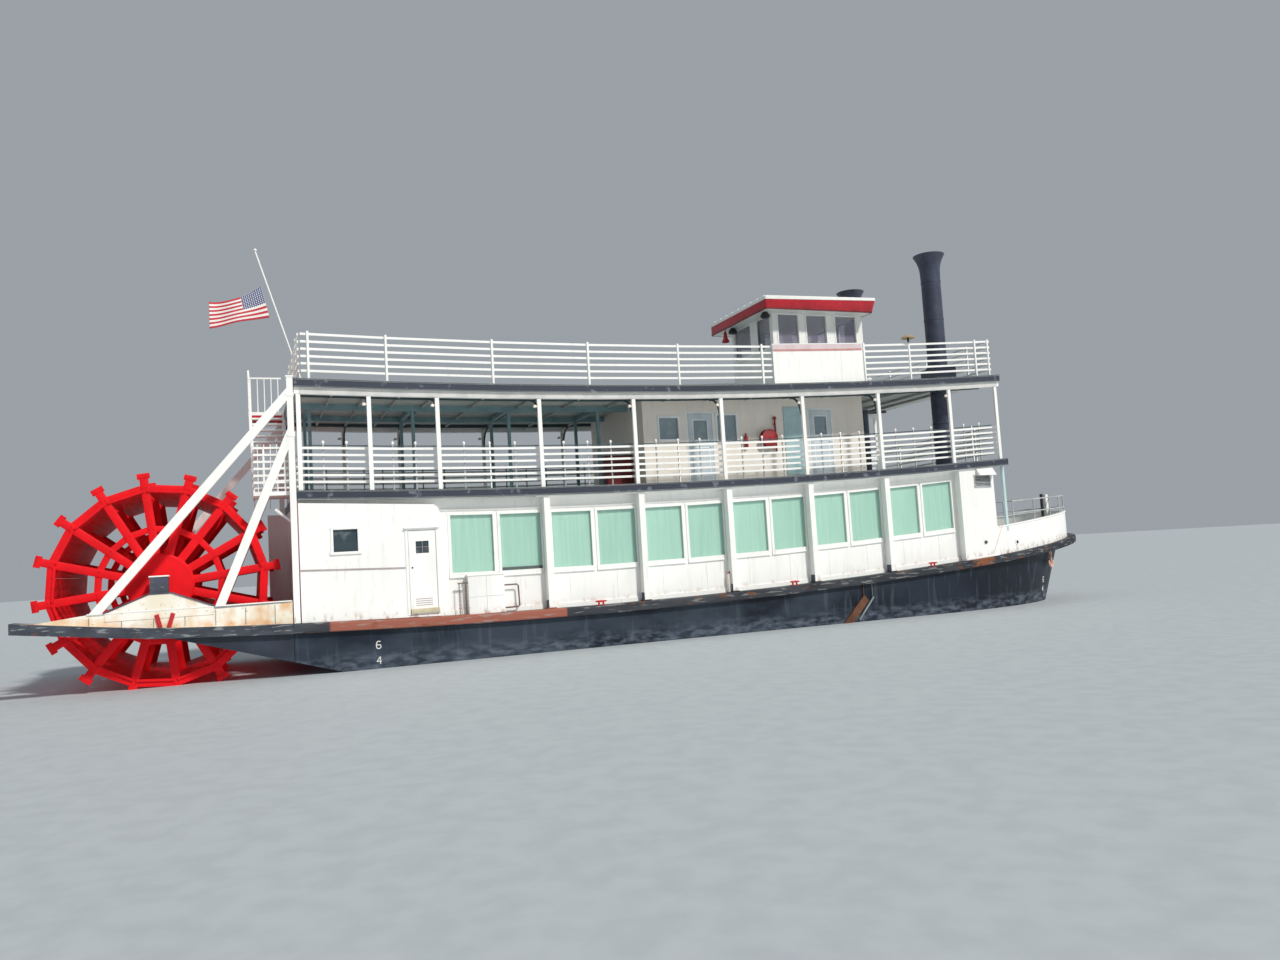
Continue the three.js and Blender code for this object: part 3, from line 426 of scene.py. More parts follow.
def deck_slate():
    """Slate enamel on the deck's edge, worn non-slip paint on top, and a pale boarded ceiling underneath.

    A seam is a dark line where the distance across, in ceiling boards, is just past a whole number."""
    material, tree, shader, place = begin("deck_slate_enamel", 0.5)
    facing = add(tree, "SeparateXYZ", {0: add(tree, "NewGeometry").outputs["Normal"]})
    base = coat(tree, "343A49", "29303D", patches(tree, place, 0.7, 0.4, 0.3, (0.4, 1, 1)))
    base = coat(tree, base, "8A909A", patches(tree, place, 0.08, 0.6, 0.08, (0.4, 1, 0.4)), 0.5)
    worn = coat(tree, "7E8C8C", "8F9A96", patches(tree, place, 0.9, 0.45, 0.2))
    up = add(tree, "MapRange", {"Value": facing.outputs[2], "From Min": 0.5, "From Max": 0.6})
    base = coat(tree, base, worn, up.outputs[0])
    boards = coat(tree, "D2D3CC", "BCBDB6", patches(tree, place, 0.8, 0.4, 0.3, (0.3, 1, 1)))
    across = add(tree, "SeparateXYZ", {0: place}).outputs[1]
    board = add(tree, "Math", {0: across, 1: CEILING_BOARD}, operation="DIVIDE")
    share = add(tree, "Math", {0: board.outputs[0]}, operation="FRACT")
    seam = add(tree, "Math", {0: share.outputs[0], 1: CEILING_SEAM}, operation="LESS_THAN")
    boards = coat(tree, boards, "5A5E60", seam.outputs[0], 0.8)
    down = add(tree, "MapRange", {"Value": facing.outputs[2], "From Min": -0.5, "From Max": -0.6})
    base = coat(tree, base, boards, down.outputs[0])
    return painted(material, tree, shader, place, base, 0.006, 0.0006)


def shade_mint():
    """Blue-green roller blind of coated cloth behind glass: matt, even, with faint upright folds."""
    material, tree, shader, place = begin("shade_mint_cloth", 0.75)
    base = coat(tree, "B2DFCB", "A6D5C0", patches(tree, place, 0.07, 0.4, 0.3, (1, 1, 0.05)))
    return painted(material, tree, shader, place, base, 0.004, 0.0002)


def clear_glass(name, colour, alpha):
    """Float glass that mirrors the sky, dusty in clouds; a higher alpha stands for what is behind it."""
    material, tree, shader, place = begin(name, 0.06)
    base = coat(tree, colour, "C8CCC8", patches(tree, place, 0.3, 0.5, 0.3), 0.4)
    tree.links.new(base, shader.inputs["Base Color"])
    shader.inputs["Alpha"].default_value = alpha
    return material


def plain(name, colour, shade, roughness, metallic=0.0, grain=0.02, depth=0.0005, spots=None):
    """One coat with a second tone in clouds a third of a metre across, fine grain, and spots if named."""
    material, tree, shader, place = begin(name, roughness, metallic)
    base = coat(tree, colour, shade, patches(tree, place, 0.33, 0.4, 0.25))
    if spots:
        base = coat(tree, base, spots, patches(tree, place, 0.06, 0.62, 0.06), 0.7)
    return painted(material, tree, shader, place, base, grain, depth)


# Chalky white of the houses, its rust heaviest along the main deck
WHITE = enamel("house_white_enamel", "FCFBF8", "F2F0EA", 0.36, 0.2, 0.12, MAIN_LINE)
# Cleaner white of rails, frames and trim, with more rust spots
RAIL_WHITE = enamel("rail_white_enamel", "FBFAF7", "F0EEE8", 0.34, 0.12, 0.22)
# Creamy white of the upper cabin
CREAM = enamel("cabin_cream_enamel", "F2EAE0", "E6DED3", 0.42, 0.2, 0.08)
NAVY = hull_navy()
GUARD = guard_grey()
OUTRIGGER = outrigger_coat()
WHEEL_RED = wheel_enamel()
SLATE = deck_slate()
MINT = shade_mint()
# Clear panes of the saloon, which show the blinds behind them
GLASS = clear_glass("window_float_glass", "B4C8C8", 0.1)
# Near-opaque dark glass of closed rooms: its dark colour is painted shade for the unlit room behind, and it
# shows its reflection
DARK_GLASS = clear_glass("room_dark_glass", "3C4A52", 0.85)
# Cabin windows with pale blinds drawn behind them
BLIND_GLASS = clear_glass("cabin_blind_glass", "8FA0A8", 0.9)
# Blue-green panel board and its slots on the cabin's side
PANEL_BLUE = plain("panel_blue_green", "B3CFD2", "A3C2C6", 0.45)
# Grey-violet tinted glass of the pilothouse
TINT_GLASS = clear_glass("pilothouse_tinted_glass", "A6A2B6", 0.3)
# Stove enamel on the stacks: blue-black, a soft sheen, faint soot
STACK = plain("stack_blue_black_enamel", "3E4456", "32384A", 0.42, spots="565C6A")
# Pale blue gloss paint on plywood doors
DOOR = plain("door_blue_paint", "CCD6DC", "BFCAD2", 0.4)
# Pale blue-green gloss on the posts at the bow
POST_PALE = plain("bow_post_pale_green", "C9DEDF", "B8D0D2", 0.4)
# Blue-grey paint on the girder and posts inside the open deck
POST = plain("post_blue_paint", "7FA0A6", "6F9098", 0.5)
# Dark blue-green paint on the arch braces under the ceiling
BRACE = plain("brace_dark_paint", "3E5257", "34464B", 0.55)
# Pinkish grey of joints and drip ledges on the white walls
SEAM_GREY = plain("seam_pink_grey", "B4A6A6", "A49696", 0.6)
# Tan rubber tread at the engine room's door
STEP_TAN = plain("step_tan_rubber", "CFC4A6", "BBAF90", 0.7)
# Thin grey paint on stanchions, the bow's rail, ceiling channels and small seams
THIN_GREY = plain("stanchion_grey_paint", "B9BBBA", "A3A6A5", 0.5, spots="8A6A50")
# Off-white gloss of the board under the sun deck's edge, greyed by its shade
HEADER = plain("header_grey_white", "D8D6D2", "C6C6C4", 0.45)
# Pale blue-white gloss of the cabin's window frames
FRAME_BLUE = plain("window_frame_blue_white", "EEF1F2", "E0E6E9", 0.4)
# Pale pink of sun-bleached red paint along the rail panel's top
PINK = plain("panel_faded_pink", "DCC9CB", "D0BCBE", 0.5)
# Sun-faded red of the line under the panel's top
FADED_RED = plain("panel_faded_red", "C8908C", "BC827E", 0.5)
# Dark red laminate of the counter, and dark red of the roof's lip
COUNTER = plain("counter_dark_red_laminate", "7A1E24", "63171D", 0.4)
# Tan glazed steel of the post lamp's cap
LAMP_TAN = plain("lamp_cap_tan_enamel", "B8A07E", "A68C68", 0.45)
# Red gloss enamel on the roof edge
ROOF = plain("roof_red_enamel", "BE1A2A", "A81624", 0.32, spots="D05A54")
# Cast steel and mild steel, oiled and dull
STEEL = plain("bare_steel", "6D737A", "565A60", 0.45, 0.8, 0.01, 0.0006, "6A4A3A")
# Grey machinery enamel on the shaft bearings, also painted shade behind the front louvres
BEARING = plain("bearing_grey_enamel_and_louvre_shade", "4B5060", "40444F", 0.45, spots="7A7060")
# Signal red on cleats, caps, the bell and the outriggers' bars
RED = plain("signal_red_enamel", "C62A2E", "A82226", 0.4, spots="6A3A30")
# Darker red of the rubbered hose, its reel and the standpipe
HOSE_RED = plain("hose_dark_red", "A8272C", "8C2024", 0.5, spots="5A2A26")
# Black iron of bitts, knobs and eave lamps, and painted shade in small openings
BLACK = plain("black_iron_paint_and_opening_shade", "1D1F23", "2A2C30", 0.5, spots="5A4A40")
# Rusted iron of the fender board, the chains and the hangers
RUST = plain("rusted_iron", "6E4630", "52331F", 0.85, 0.0, 0.02, 0.002, "8C6A4C")
# Brown-grey weathered pipe of the locker's bracket
RUST_GREY = plain("weathered_brown_pipe", "7C6A5E", "625349", 0.6, 0.2)
# Salt-bleached iron of the anchor, its old primer showing pink
ANCHOR_PALE = plain("anchor_bleached_iron", "E6BEAA", "C99C8A", 0.7, spots="8A5A48")
# Dull zinc of poles, seams and the flag's ties
ZINC = plain("galvanised_pipe", "9EA3A6", "8A8F93", 0.45, 0.7)
# Draft figures, flat white
FIGURE = plain("draft_figure_white", "E8E8E4", "D6D6D0", 0.6)
# Sun-bleached green of the helm and its console
HELM_GREEN = plain("helm_bleached_green", "6E8F86", "5C7C74", 0.6)

FINISHES = {
    "hull_paint": NAVY,
    "rub_rail_grey": GUARD,
    "outrigger_paint": OUTRIGGER,
    "bare_steel": STEEL,
    "wheel_red": WHEEL_RED,
    "bearing_grey": BEARING,
    "deck_edge_slate": SLATE,
    "shade_mint": MINT,
    "stack_slate": STACK,
    "door_blue": DOOR,
    "cabin_cream": CREAM,
    "post_blue": POST,
    "window_glass": TINT_GLASS,
    "roof_red": ROOF,
    "house_white": WHITE,
}


def paint_frame():
    """Gives every carried-over node the finish of its slot in the record."""
    for part in frame["record"]["subparts"]:
        finish = FINISHES.get(part["material_slot"], WHITE)
        for held in frame["nodes"][part["node"]].material_slots:
            held.material = finish


# Camera, light and floor
def set_camera():
    """The camera that was solved from the columns, deck lines and horizon."""
    place = (-11.393, -27.24, 3.328)
    forward = Vector((0.3775, 0.9228, 0.0759)).normalized()
    near_up = Vector((0.0276, -0.0932, 0.9952))
    right = forward.cross(near_up).normalized()
    up = right.cross(forward)
    data = bpy.data.cameras.new("camera")
    data.sensor_width = 36
    data.lens = 27.77
    data.clip_end = 1000
    held = bpy.data.objects.new("camera", data)
    turn = Matrix((right, up, -forward)).transposed().to_4x4()
    held.matrix_world = Matrix.Translation(place) @ turn
    bpy.context.scene.collection.objects.link(held)
    bpy.context.scene.camera = held


def set_light():
    """A soft high sun over the camera's right shoulder, a broad glow from below as off water, and a pale sky.

    Each lamp has a name, a strength, an angle in degrees across its disc, a colour and a direction."""
    lamps = (
        ("sun", 2.8, 6, (1.0, 0.97, 0.92), (-0.31, 0.655, -0.69)),
        ("floor_glow", 1.15, 70, (1.0, 1.0, 1.0), (-0.68, 0.52, 0.52)),
    )
    for name, energy, angle, colour, towards in lamps:
        lamp = bpy.data.lights.new(name, "SUN")
        lamp.energy = energy
        lamp.angle = math.radians(angle)
        lamp.color = colour
        held = bpy.data.objects.new(name, lamp)
        held.rotation_mode = "QUATERNION"
        held.rotation_quaternion = Vector(towards).to_track_quat("-Z", "Y")
        bpy.context.scene.collection.objects.link(held)
    world = bpy.data.worlds.new("pale_sky")
    bpy.context.scene.world = world
    world.use_nodes = True
    back = world.node_tree.nodes["Background"]
    back.inputs["Color"].default_value = linear("DDE6EE")
    back.inputs["Strength"].default_value = 0.45
    bpy.context.scene.view_settings.view_transform = "Standard"


def make_floor():
    """A plain pale sheet at the waterline, through which the glow from below passes."""
    reach = 300.0
    mesh = bpy.data.meshes.new("floor")
    corners = [(-reach, -reach), (reach, -reach), (reach, reach), (-reach, reach)]
    mesh.from_pydata([(x, y, WATERLINE) for x, y in corners], [], [(0, 1, 2, 3)])
    mesh.materials.append(plain("floor_pale", "B9C0C3", "B2B9BD", 0.7, grain=0.5, depth=0.0))
    held = bpy.data.objects.new("floor", mesh)
    held.visible_shadow = False
    bpy.context.scene.collection.objects.link(held)


# Hull and guard
# The bulwark rounds in from BULWARK_START to its stem at BULWARK_STEM
BULWARK_START = 8.5
BULWARK_STEM = 15.48
# The hull's aft end, where its bow rounds in, its stem and its half width, at five heights
HULL_Z = [0, 0.25, 1.05, 1.38, 3.3]
HULL_AFT = [-5.7, -6.53, -9.2, STERN_X, STERN_X]
HULL_START = [6.5, 7.0, 8.0, 8.073, BULWARK_START]
HULL_STEM = [12.2, 12.85, 14.24, 14.369, 15.12]
HULL_HALF = [2.85, 3.05, 3.13, 3.14, EDGE_HALF]


def bow_half(x, start, stem, half):
    """Half width of a bow that rounds in from start to the stem as a quarter ellipse."""
    share = np.clip((x - start) / (stem - start), 0, 1)
    return half * np.sqrt(1 - share**2)


def hull_half(x, z):
    """Half width of the hull at x and at height z."""
    start, stem, half = (np.interp(z, HULL_Z, v) for v in (HULL_START, HULL_STEM, HULL_HALF))
    return bow_half(x, start, stem, half)


def bow_outline(start, stem, half, aft, steps=40):
    """A plan line from the starboard side aft, round the bow and back to port, even in angle at the bow."""
    angle = np.linspace(-math.pi / 2, math.pi / 2, steps)
    sides = np.linspace(0, 1, 24)[:-1]
    x = np.concatenate([aft + (start - aft) * sides, start + (stem - start) * np.cos(angle)])
    y = np.concatenate([-half + 0 * sides, half * np.sin(angle)])
    back = aft + (start - aft) * sides[::-1]
    return np.concatenate([x, back]), np.concatenate([y, half + 0 * back])


def hull_shell():
    """Level curves from the flat bottom up, each a straight side and a quarter-ellipse bow, ruled between.

    From the knuckle up, the levels rise by even shares to the underside of the guard."""
    knuckle = 1.38
    heights = np.array([0, 0.125, 0.25, 0.5, 0.8, 1.05, knuckle])
    rise = np.linspace(0, 1, 12)[1:]
    cap_x, _ = bow_outline(8.3, 15.05, 3.17, STERN_X)
    cap = main_top(cap_x) - RUB_DEPTH + 0.01
    x, y = bow_outline(0.0, 1.0, 1.0, -1.0)
    levels = []
    for z in [*(np.full(len(cap), h) for h in heights), *(knuckle + (cap - knuckle) * r for r in rise)]:
        shape = (HULL_START, HULL_STEM, HULL_HALF, HULL_AFT)
        start, stem, half, aft = (np.interp(z, HULL_Z, values) for values in shape)
        along = np.where(x > 0, start + (stem - start) * x, start + (start - aft) * x)
        levels.append(np.stack([along, y * half, z], -1))
    made = piece("hull_shell", [rings(np.stack(levels))], NAVY)
    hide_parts("hull")


def guard_and_deck():
    """The guard is a soft-cornered strake carried round the deck's plan; the deck plate lies inside it."""
    bow_start = 8.6
    x, y = bow_outline(bow_start, END_X - 0.004, RUB_HALF - 0.004, STERN_X + 0.002, 90)
    path = np.stack([x, y, main_top(x) - RUB_DEPTH / 2], -1)
    outline = rounded(0.26, RUB_DEPTH, 0.045, 5)
    outline[:, 0] -= 0.13
    strake = sweep(outline, path)
    sides = np.linspace(STERN_X + 0.01, BULWARK_START, 20)
    bow = np.linspace(BULWARK_START, 15.7, 40)
    xs = np.unique(np.concatenate([sides, bow, KNOTS[2:-1]]))
    half = bow_half(xs, bow_start, 15.78, RUB_HALF - 0.12)
    top = main_top(xs) - 0.002
    ring = [(xs, -half, top - 0.2), (xs, half, top - 0.2), (xs, half, top), (xs, -half, top)]
    plate = rings(np.stack([np.stack(corner, -1) for corner in ring], 1))
    made = piece("guard_strake", [strake], GUARD)
    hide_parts("main_deck")
    piece("main_deck_plate", [plate], SLATE)


# Paddle wheel: three frames of arms, two rims each, boards across the rim, on one shaft
ARMS = 16
ARM_PHASE = math.radians(7.2)
TIP_R = 2.56
RIM_R = 2.30
RIM_MID = RIM_R - 0.075
INNER_RIM = 1.28
BOARD_R = 2.11
BOARD_STEP = 0.262
FRAMES = (-2.42, 0.0, 2.42)


def spoke_points(radius, angle, y):
    """The point at a radius and angle in a wheel frame's plane: 0 is forward, 90 degrees straight up."""
    return np.array([WHEEL_X + radius * math.cos(angle), y, WHEEL_Z + radius * math.sin(angle)])


def wheel_parts():
    """Arms, hubs and shaft in one piece, then the rims, the boards and the rims' bolts.

    The arms stand at even angles. The middle frame has the inner rim only, and no end blocks or bolts."""
    step = 2 * math.pi / ARMS
    arms, rims, boards, bolts = [], [], [], []
    for y in FRAMES:
        for i in range(ARMS):
            angle = ARM_PHASE + i * step
            out = (math.cos(angle), 0, math.sin(angle))
            side = np.array([-out[2], 0, out[0]])
            foot, tip = spoke_points(0.3, angle, y), spoke_points(TIP_R - 0.01, angle, y)
            arms.append(bar(foot, tip, 0.09, 0.18, 0.008, side))
            if y:
                head = spoke_points(TIP_R - 0.07, angle, y)
                arms.append(bar(head - side * 0.13, head + side * 0.13, 0.11, 0.12, 0.01, out))
                for r in (INNER_RIM, RIM_MID):
                    seat = spoke_points(r, angle, y)
                    outside = math.copysign(0.05, y)
                    for lift in (-0.04, 0.04):
                        foot = seat + side * lift
                        bolts.append(rod(foot, foot + [0, outside + math.copysign(0.012, y), 0], 0.016, 6))
            for radius, depth, thick in ((RIM_MID, 0.15, 0.075), (INNER_RIM, 0.14, 0.06)):
                if y or radius < 2:
                    a = spoke_points(radius, angle, y)
                    b = spoke_points(radius, angle + step, y)
                    middle = angle + step / 2
                    rims.append(bar(a, b, thick, depth, 0.008, (math.cos(middle), 0, math.sin(middle))))
    for i in range(ARMS):
        middle = ARM_PHASE + (i + 0.5) * step
        out = np.array([math.cos(middle), 0, math.sin(middle)])
        side = np.array([-out[2], 0, out[0]])
        centre = np.array([WHEEL_X, 0, WHEEL_Z]) + out * BOARD_R
        for k in (-1, 0, 1):
            mid = centre + side * BOARD_STEP * k
            boards.append(bar(mid - [0, 2.5, 0], mid + [0, 2.5, 0], 0.259, 0.05, 0.004, out))
    hub = [(0.13, -0.13), (0.66, -0.13), (0.70, -0.1), (0.70, 0.1), (0.66, 0.13), (0.13, 0.13)]
    hubs = [lathe(hub, (WHEEL_X, y, WHEEL_Z), "Y", 32, loop=True) for y in FRAMES]
    shaft = [rod((WHEEL_X, -3.13, WHEEL_Z), (WHEEL_X, 3.13, WHEEL_Z), 0.109, 32)]
    made = piece("wheel_arms", arms + hubs + shaft, WHEEL_RED, "wheel")
    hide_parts("paddle_wheel")
    piece("wheel_rims", rims, WHEEL_RED, "wheel")
    piece("wheel_boards", boards, WHEEL_RED, "wheel")
    piece("wheel_bolts", bolts, WHEEL_RED, "wheel")


# Outriggers and trusses
KING_Y = 3.165


def outrigger_fittings(side, s):
    """Caps, seams and V bars of the outriggers, bearing caps, gable trim, and the trusses' feet and bands."""
    out = s * TRIM_HALF
    cap = strip(-14.44, STERN_X - 0.01, s * 3.1, s * 3.225, level(2.765), level(2.79))
    piece(f"outrigger_cap_{side}", [cap], WHITE)
    seam_x = -14.02
    low, high = slope(seam_x, 2.70, 0.013), slope(seam_x, 2.718, 0.013)
    line = strip(seam_x, STERN_X - 0.1, s * 3.19, s * 3.212, low, high)
    seams = [
        strip(x - 0.006, x + 0.006, s * 3.19, s * 3.208, above(main_top, 0.02), level(2.7))
        for x in np.arange(-14.4, -10.4, 0.62)
    ]
    piece(f"outrigger_seams_{side}", [line, *seams], ZINC)
    legs = [((-13.10, 2.68), (-13.03, 2.40)), ((-12.77, 2.69), (-12.86, 2.39))]
    bars = [bar((a[0], out, a[1]), (b[0], out, b[1]), 0.045, 0.09, 0.005, (1, 0, 0)) for a, b in legs]
    piece(f"outrigger_v_bars_{side}", bars, RED)
    crown = bar((-13.24, s * 2.965, 3.51), (-12.845, s * 2.965, 3.51), 0.48, 0.03, 0.005)
    piece(f"bearing_cap_{side}", [crown], WHITE)
    gable = [(-14.13, 2.78), (-13.24, 3.14), (-12.8, 3.14), (-11.92, 2.78)]
    slopes = zip(gable[:-1], gable[1:])
    trim = [bar((a, s * 3.14, c), (b, s * 3.14, d), 0.2, 0.025, 0.004) for (a, c), (b, d) in slopes]
    piece(f"gable_trim_{side}", trim, BEARING)
    feet = [block(a, b, s * 3.08, s * 3.2, 2.775, 2.80) for a, b in ((-14.44, -14.15), (-12.05, -11.7))]
    piece(f"truss_feet_{side}", feet, STEEL)
    y = s * KING_Y
    head = block(-10.3, -10.12, y - 0.09, y + 0.09, 7.95, 7.985, 0.005)
    bands = [block(-10.295, -10.125, y - 0.085, y + 0.085, z, z + 0.06) for z in (6.55, 7.5)]
    brace = bar((-10.59, s * 2.83, 4.90), (-10.23, s * 2.9, 4.58), 0.06, 0.06, 0.006)
    piece(f"king_post_bands_{side}", [head, *bands, brace], WHITE)


# Houses on the main deck
WINDOW_SPANS = ((0.22, 1.305), (1.465, 2.55))
SALOON_WINDOWS = [
    (SALOON_AFT + BAY * i + a, SALOON_AFT + BAY * i + b) for i in range(6) for a, b in WINDOW_SPANS
]
SILL = 1.015
HEAD = 2.455
BLOCK_AFT = 8.91
SALOON_COLUMNS = COLUMNS[3:8]
LOUVRE = (9.48, 10.05, 4.80, 5.12)


def saloon_windows(side, s):
    """Each window has a frame round its opening, a sheet of glass, and a drip rail over it."""
    low, high = above(main_top, SILL), above(main_top, HEAD)
    face = s * WALL_HALF
    back, lip, sill = face - s * 0.02, face + s * 0.018, face + s * 0.04
    frames, panes = [], []
    for x0, x1 in SALOON_WINDOWS:
        end = x1 + 0.02
        frames += [
            strip(x0 - 0.055, x0 + 0.012, back, lip, above(low, -0.055), above(high, 0.05)),
            strip(x1 - 0.012, end, back, lip, above(low, -0.055), above(high, 0.05)),
            strip(x0 - 0.058, end, back, lip + s * 0.004, above(high, -0.012), above(high, 0.055)),
            strip(x0 - 0.06, end, back, lip + s * 0.006, above(low, -0.10), above(low, 0.012)),
            strip(x0 - 0.06, end, back, sill, above(low, -0.12), above(low, -0.098)),
        ]
        panes.append(strip(x0, x1, face - s * 0.03, face - s * 0.024, low, high))
    piece(f"saloon_window_frames_{side}", frames, RAIL_WHITE)
    piece(f"saloon_window_panes_{side}", panes, GLASS)
    # A black strip in one window, under its raised blind: painted shade for the dark room behind
    gap_shade = strip(-5.335, -4.25, face - s * 0.05, face - s * 0.036, low, above(low, 0.09))
    piece(f"blind_gap_shade_sheet_{side}", [gap_shade], BLACK)
    ends = (SALOON_AFT, BLOCK_AFT - 0.02)
    rail = strip(*ends, face - s * 0.01, face + s * 0.03, above(high, 0.10), above(high, 0.14))
    foot, head = above(main_top, 0.002), above(main_top, 0.11)
    base = strip(*ends, face - s * 0.01, face + s * 0.025, foot, head)
    seams = [
        strip(x - 0.008, x + 0.008, face - s * 0.005, face + s * 0.008, head, above(low, -0.13))
        for x in np.arange(-6.15, BLOCK_AFT, 1.3)
    ]
    piece(f"saloon_rails_{side}", [rail, base, *seams], RAIL_WHITE)
    edge = s * TRIM_HALF
    feet = [
        strip(x - 0.05, x + 0.17, s * 2.98, edge, above(main_top, 0.001), above(main_top, 0.03))
        for x in SALOON_COLUMNS
    ]
    piece(f"column_feet_{side}", feet, GUARD)
    # A thin dark plate, 0.2 m high, on the aft face of each column's foot
    foot_plates = [
        strip(x - 0.026, x - 0.018, s * 2.99, s * 3.19, above(main_top, 0.03), above(main_top, 0.22))
        for x in SALOON_COLUMNS
    ]
    piece(f"column_foot_dark_plates_{side}", foot_plates, BEARING)


def forward_block(side, s):
    """A base board, a louvre under an awning, a round valve and a slanting seam, ahead of the saloon."""
    face = s * EDGE_HALF
    back = face - s * 0.01
    base = strip(
        BLOCK_AFT + 0.01, 10.19, back, face + s * 0.015, above(main_top, 0.002), above(main_top, 0.06)
    )
    piece(f"forward_block_base_{side}", [base], RAIL_WHITE)
    x0, x1, z0, z1 = LOUVRE
    ring = trim_round(x0, x1, z0, z1, face, s, 0.03, 0.02)
    slats = [
        bar((x0, face + s * 0.006, z), (x1, face + s * 0.006, z), 0.03, 0.012, 0.002, (0, s * 0.6, 0.8))
        for z in np.arange(z0 + 0.02, z1, 0.045)
    ]
    piece(f"front_louvre_{side}", [*ring, *slats], THIN_GREY)
    # A dark grey block behind the slats: painted shade for the vent's dark inside
    vent_shade = block(x0, x1, back, face + s * 0.003, z0, z1)
    piece(f"front_louvre_shade_sheet_{side}", [vent_shade], BEARING)
    wall, lip = 5.36, 5.13
    top, edge = np.array([0, face, wall]), np.array([0, s * 3.375, lip])
    middle = (top + edge) / 2
    lean = (0, s * (wall - lip), 0.175)
    length = float(np.linalg.norm(edge - top))
    sheet = bar(middle + [9.55, 0, 0], middle + [10.19, 0, 0], length, 0.014, 0.003, lean)
    cheeks = []
    for x in (9.56, 10.18):
        flat = np.array([(x, face, wall - 0.01), (x, s * 3.37, lip), (x, face, lip)])
        shift = np.array([0.006, 0, 0])
        cheeks.append(rings(np.stack([flat - shift, flat + shift])))
    piece(f"front_awning_{side}", [sheet, *cheeks], RAIL_WHITE)
    plug = [(0.002, 0.0), (0.05, 0.0), (0.05, 0.03), (0.03, 0.045), (0.002, 0.05)]
    valve = lathe([(r, s * h) for r, h in plug], (9.70, face, 3.09), "Y", 20)
    piece(f"forward_block_valve_{side}", [valve], BEARING)
    scar = bar(
        (10.44, face + s * 0.003, 3.68), (9.98, face + s * 0.003, 2.74), 0.014, 0.006, 0.001, (0, s, 0)
    )
    piece(f"forward_block_seam_{side}", [scar], ANCHOR_PALE)


def engine_room_trim(side, s):
    """Boards round the window and the door, a ledge, a tread, dark panes, and the door's bars and knob."""
    out = s * EDGE_HALF
    back = out - s * 0.02
    trims = [
        block(-9.42, -9.36, back, out + s * 0.015, 3.77, 4.41),
        block(-8.81, -8.75, back, out + s * 0.015, 3.77, 4.41),
        block(-9.42, -8.75, back, out + s * 0.02, 4.35, 4.41),
        block(-9.44, -8.73, back, out + s * 0.035, 3.765, 3.83),
        block(-7.72, -7.655, back, out + s * 0.014, 2.25, 4.31),
        block(-6.985, -6.93, back, out + s * 0.014, 2.25, 4.31),
        block(-7.74, -6.9, back, out + s * 0.07, 4.30, 4.33),
    ]
    piece(f"engine_room_trim_{side}", trims, RAIL_WHITE)
    low, high = above(main_top, 1.18), above(main_top, 1.215)
    ledge = strip(-10.1, -7.73, out - s * 0.01, out + s * 0.014, low, high)
    piece(f"engine_room_seam_{side}", [ledge], SEAM_GREY)
    step = block(-7.64, -6.96, out - s * 0.005, out + s * 0.05, 2.27, 2.38)
    piece(f"engine_room_step_{side}", [step], STEP_TAN)
    pane = block(-9.36, -8.81, out - s * 0.045, out - s * 0.038, 3.82, 4.36)
    piece(f"engine_room_pane_{side}", [pane], DARK_GLASS)
    body = f"engine_room_door_{side}"
    leaf = s * (EDGE_HALF + 0.005)
    cross = [
        block(-7.47, -7.165, leaf - s * 0.03, leaf + s * 0.001, 3.84, 3.852),
        block(-7.322, -7.31, leaf - s * 0.03, leaf + s * 0.001, 3.70, 3.99),
    ]
    slots = [
        block(-7.52, -7.12, leaf - s * 0.01, leaf + s * 0.004, z, z + 0.018)
        for z in np.arange(2.45, 2.62, 0.05)
    ]
    piece(f"{body}_bars", cross + slots, SEAM_GREY, body)
    knob = [(0.002, 0.0), (0.03, 0.0), (0.034, 0.012), (0.02, 0.02), (0.002, 0.022)]
    grip = lathe([(r, s * (h - 0.018)) for r, h in knob], (-7.57, leaf, 3.36), "Y", 16)
    piece(f"{body}_knob", [grip], BLACK, body)
    glass = block(-7.472, -7.162, leaf - s * 0.028, leaf - s * 0.022, 3.70, 3.99)
    piece(f"{body}_pane", [glass], DARK_GLASS, body)


# Deck edges, rails and the open deck
SUN_RAIL_Y = 3.12
LAMP_X = 7.49


def deck_edges():
    """Round mouldings along the top and foot of each dark deck edge, and a pale header under it."""
    for name, line, x0, x1 in (("second", second_top, -10.12, 10.79), ("sun", sun_top, -10.12, 10.74)):
        xs = np.array([x0, *KNOTS[(KNOTS > x0) & (KNOTS < x1)], x1])
        for side, s in SIDES.items():
            runs = []
            for height in (-0.018, -DECK_PLATE + 0.02):
                path = np.stack([xs, s * DECK_HALF + 0 * xs, line(xs) + height], -1)
                runs.append(sweep(circle(0.018, 10), path))
            piece(f"{name}_deck_moulding_{side}", runs, SLATE)
    for side, s in SIDES.items():
        low, high = above(sun_top, -DECK_PLATE - 0.145), above(sun_top, -DECK_PLATE - 0.001)
        header = strip(-10.0, 10.66, s * 3.19, s * 3.206, low, high)
        piece(f"ceiling_header_{side}", [header], HEADER)


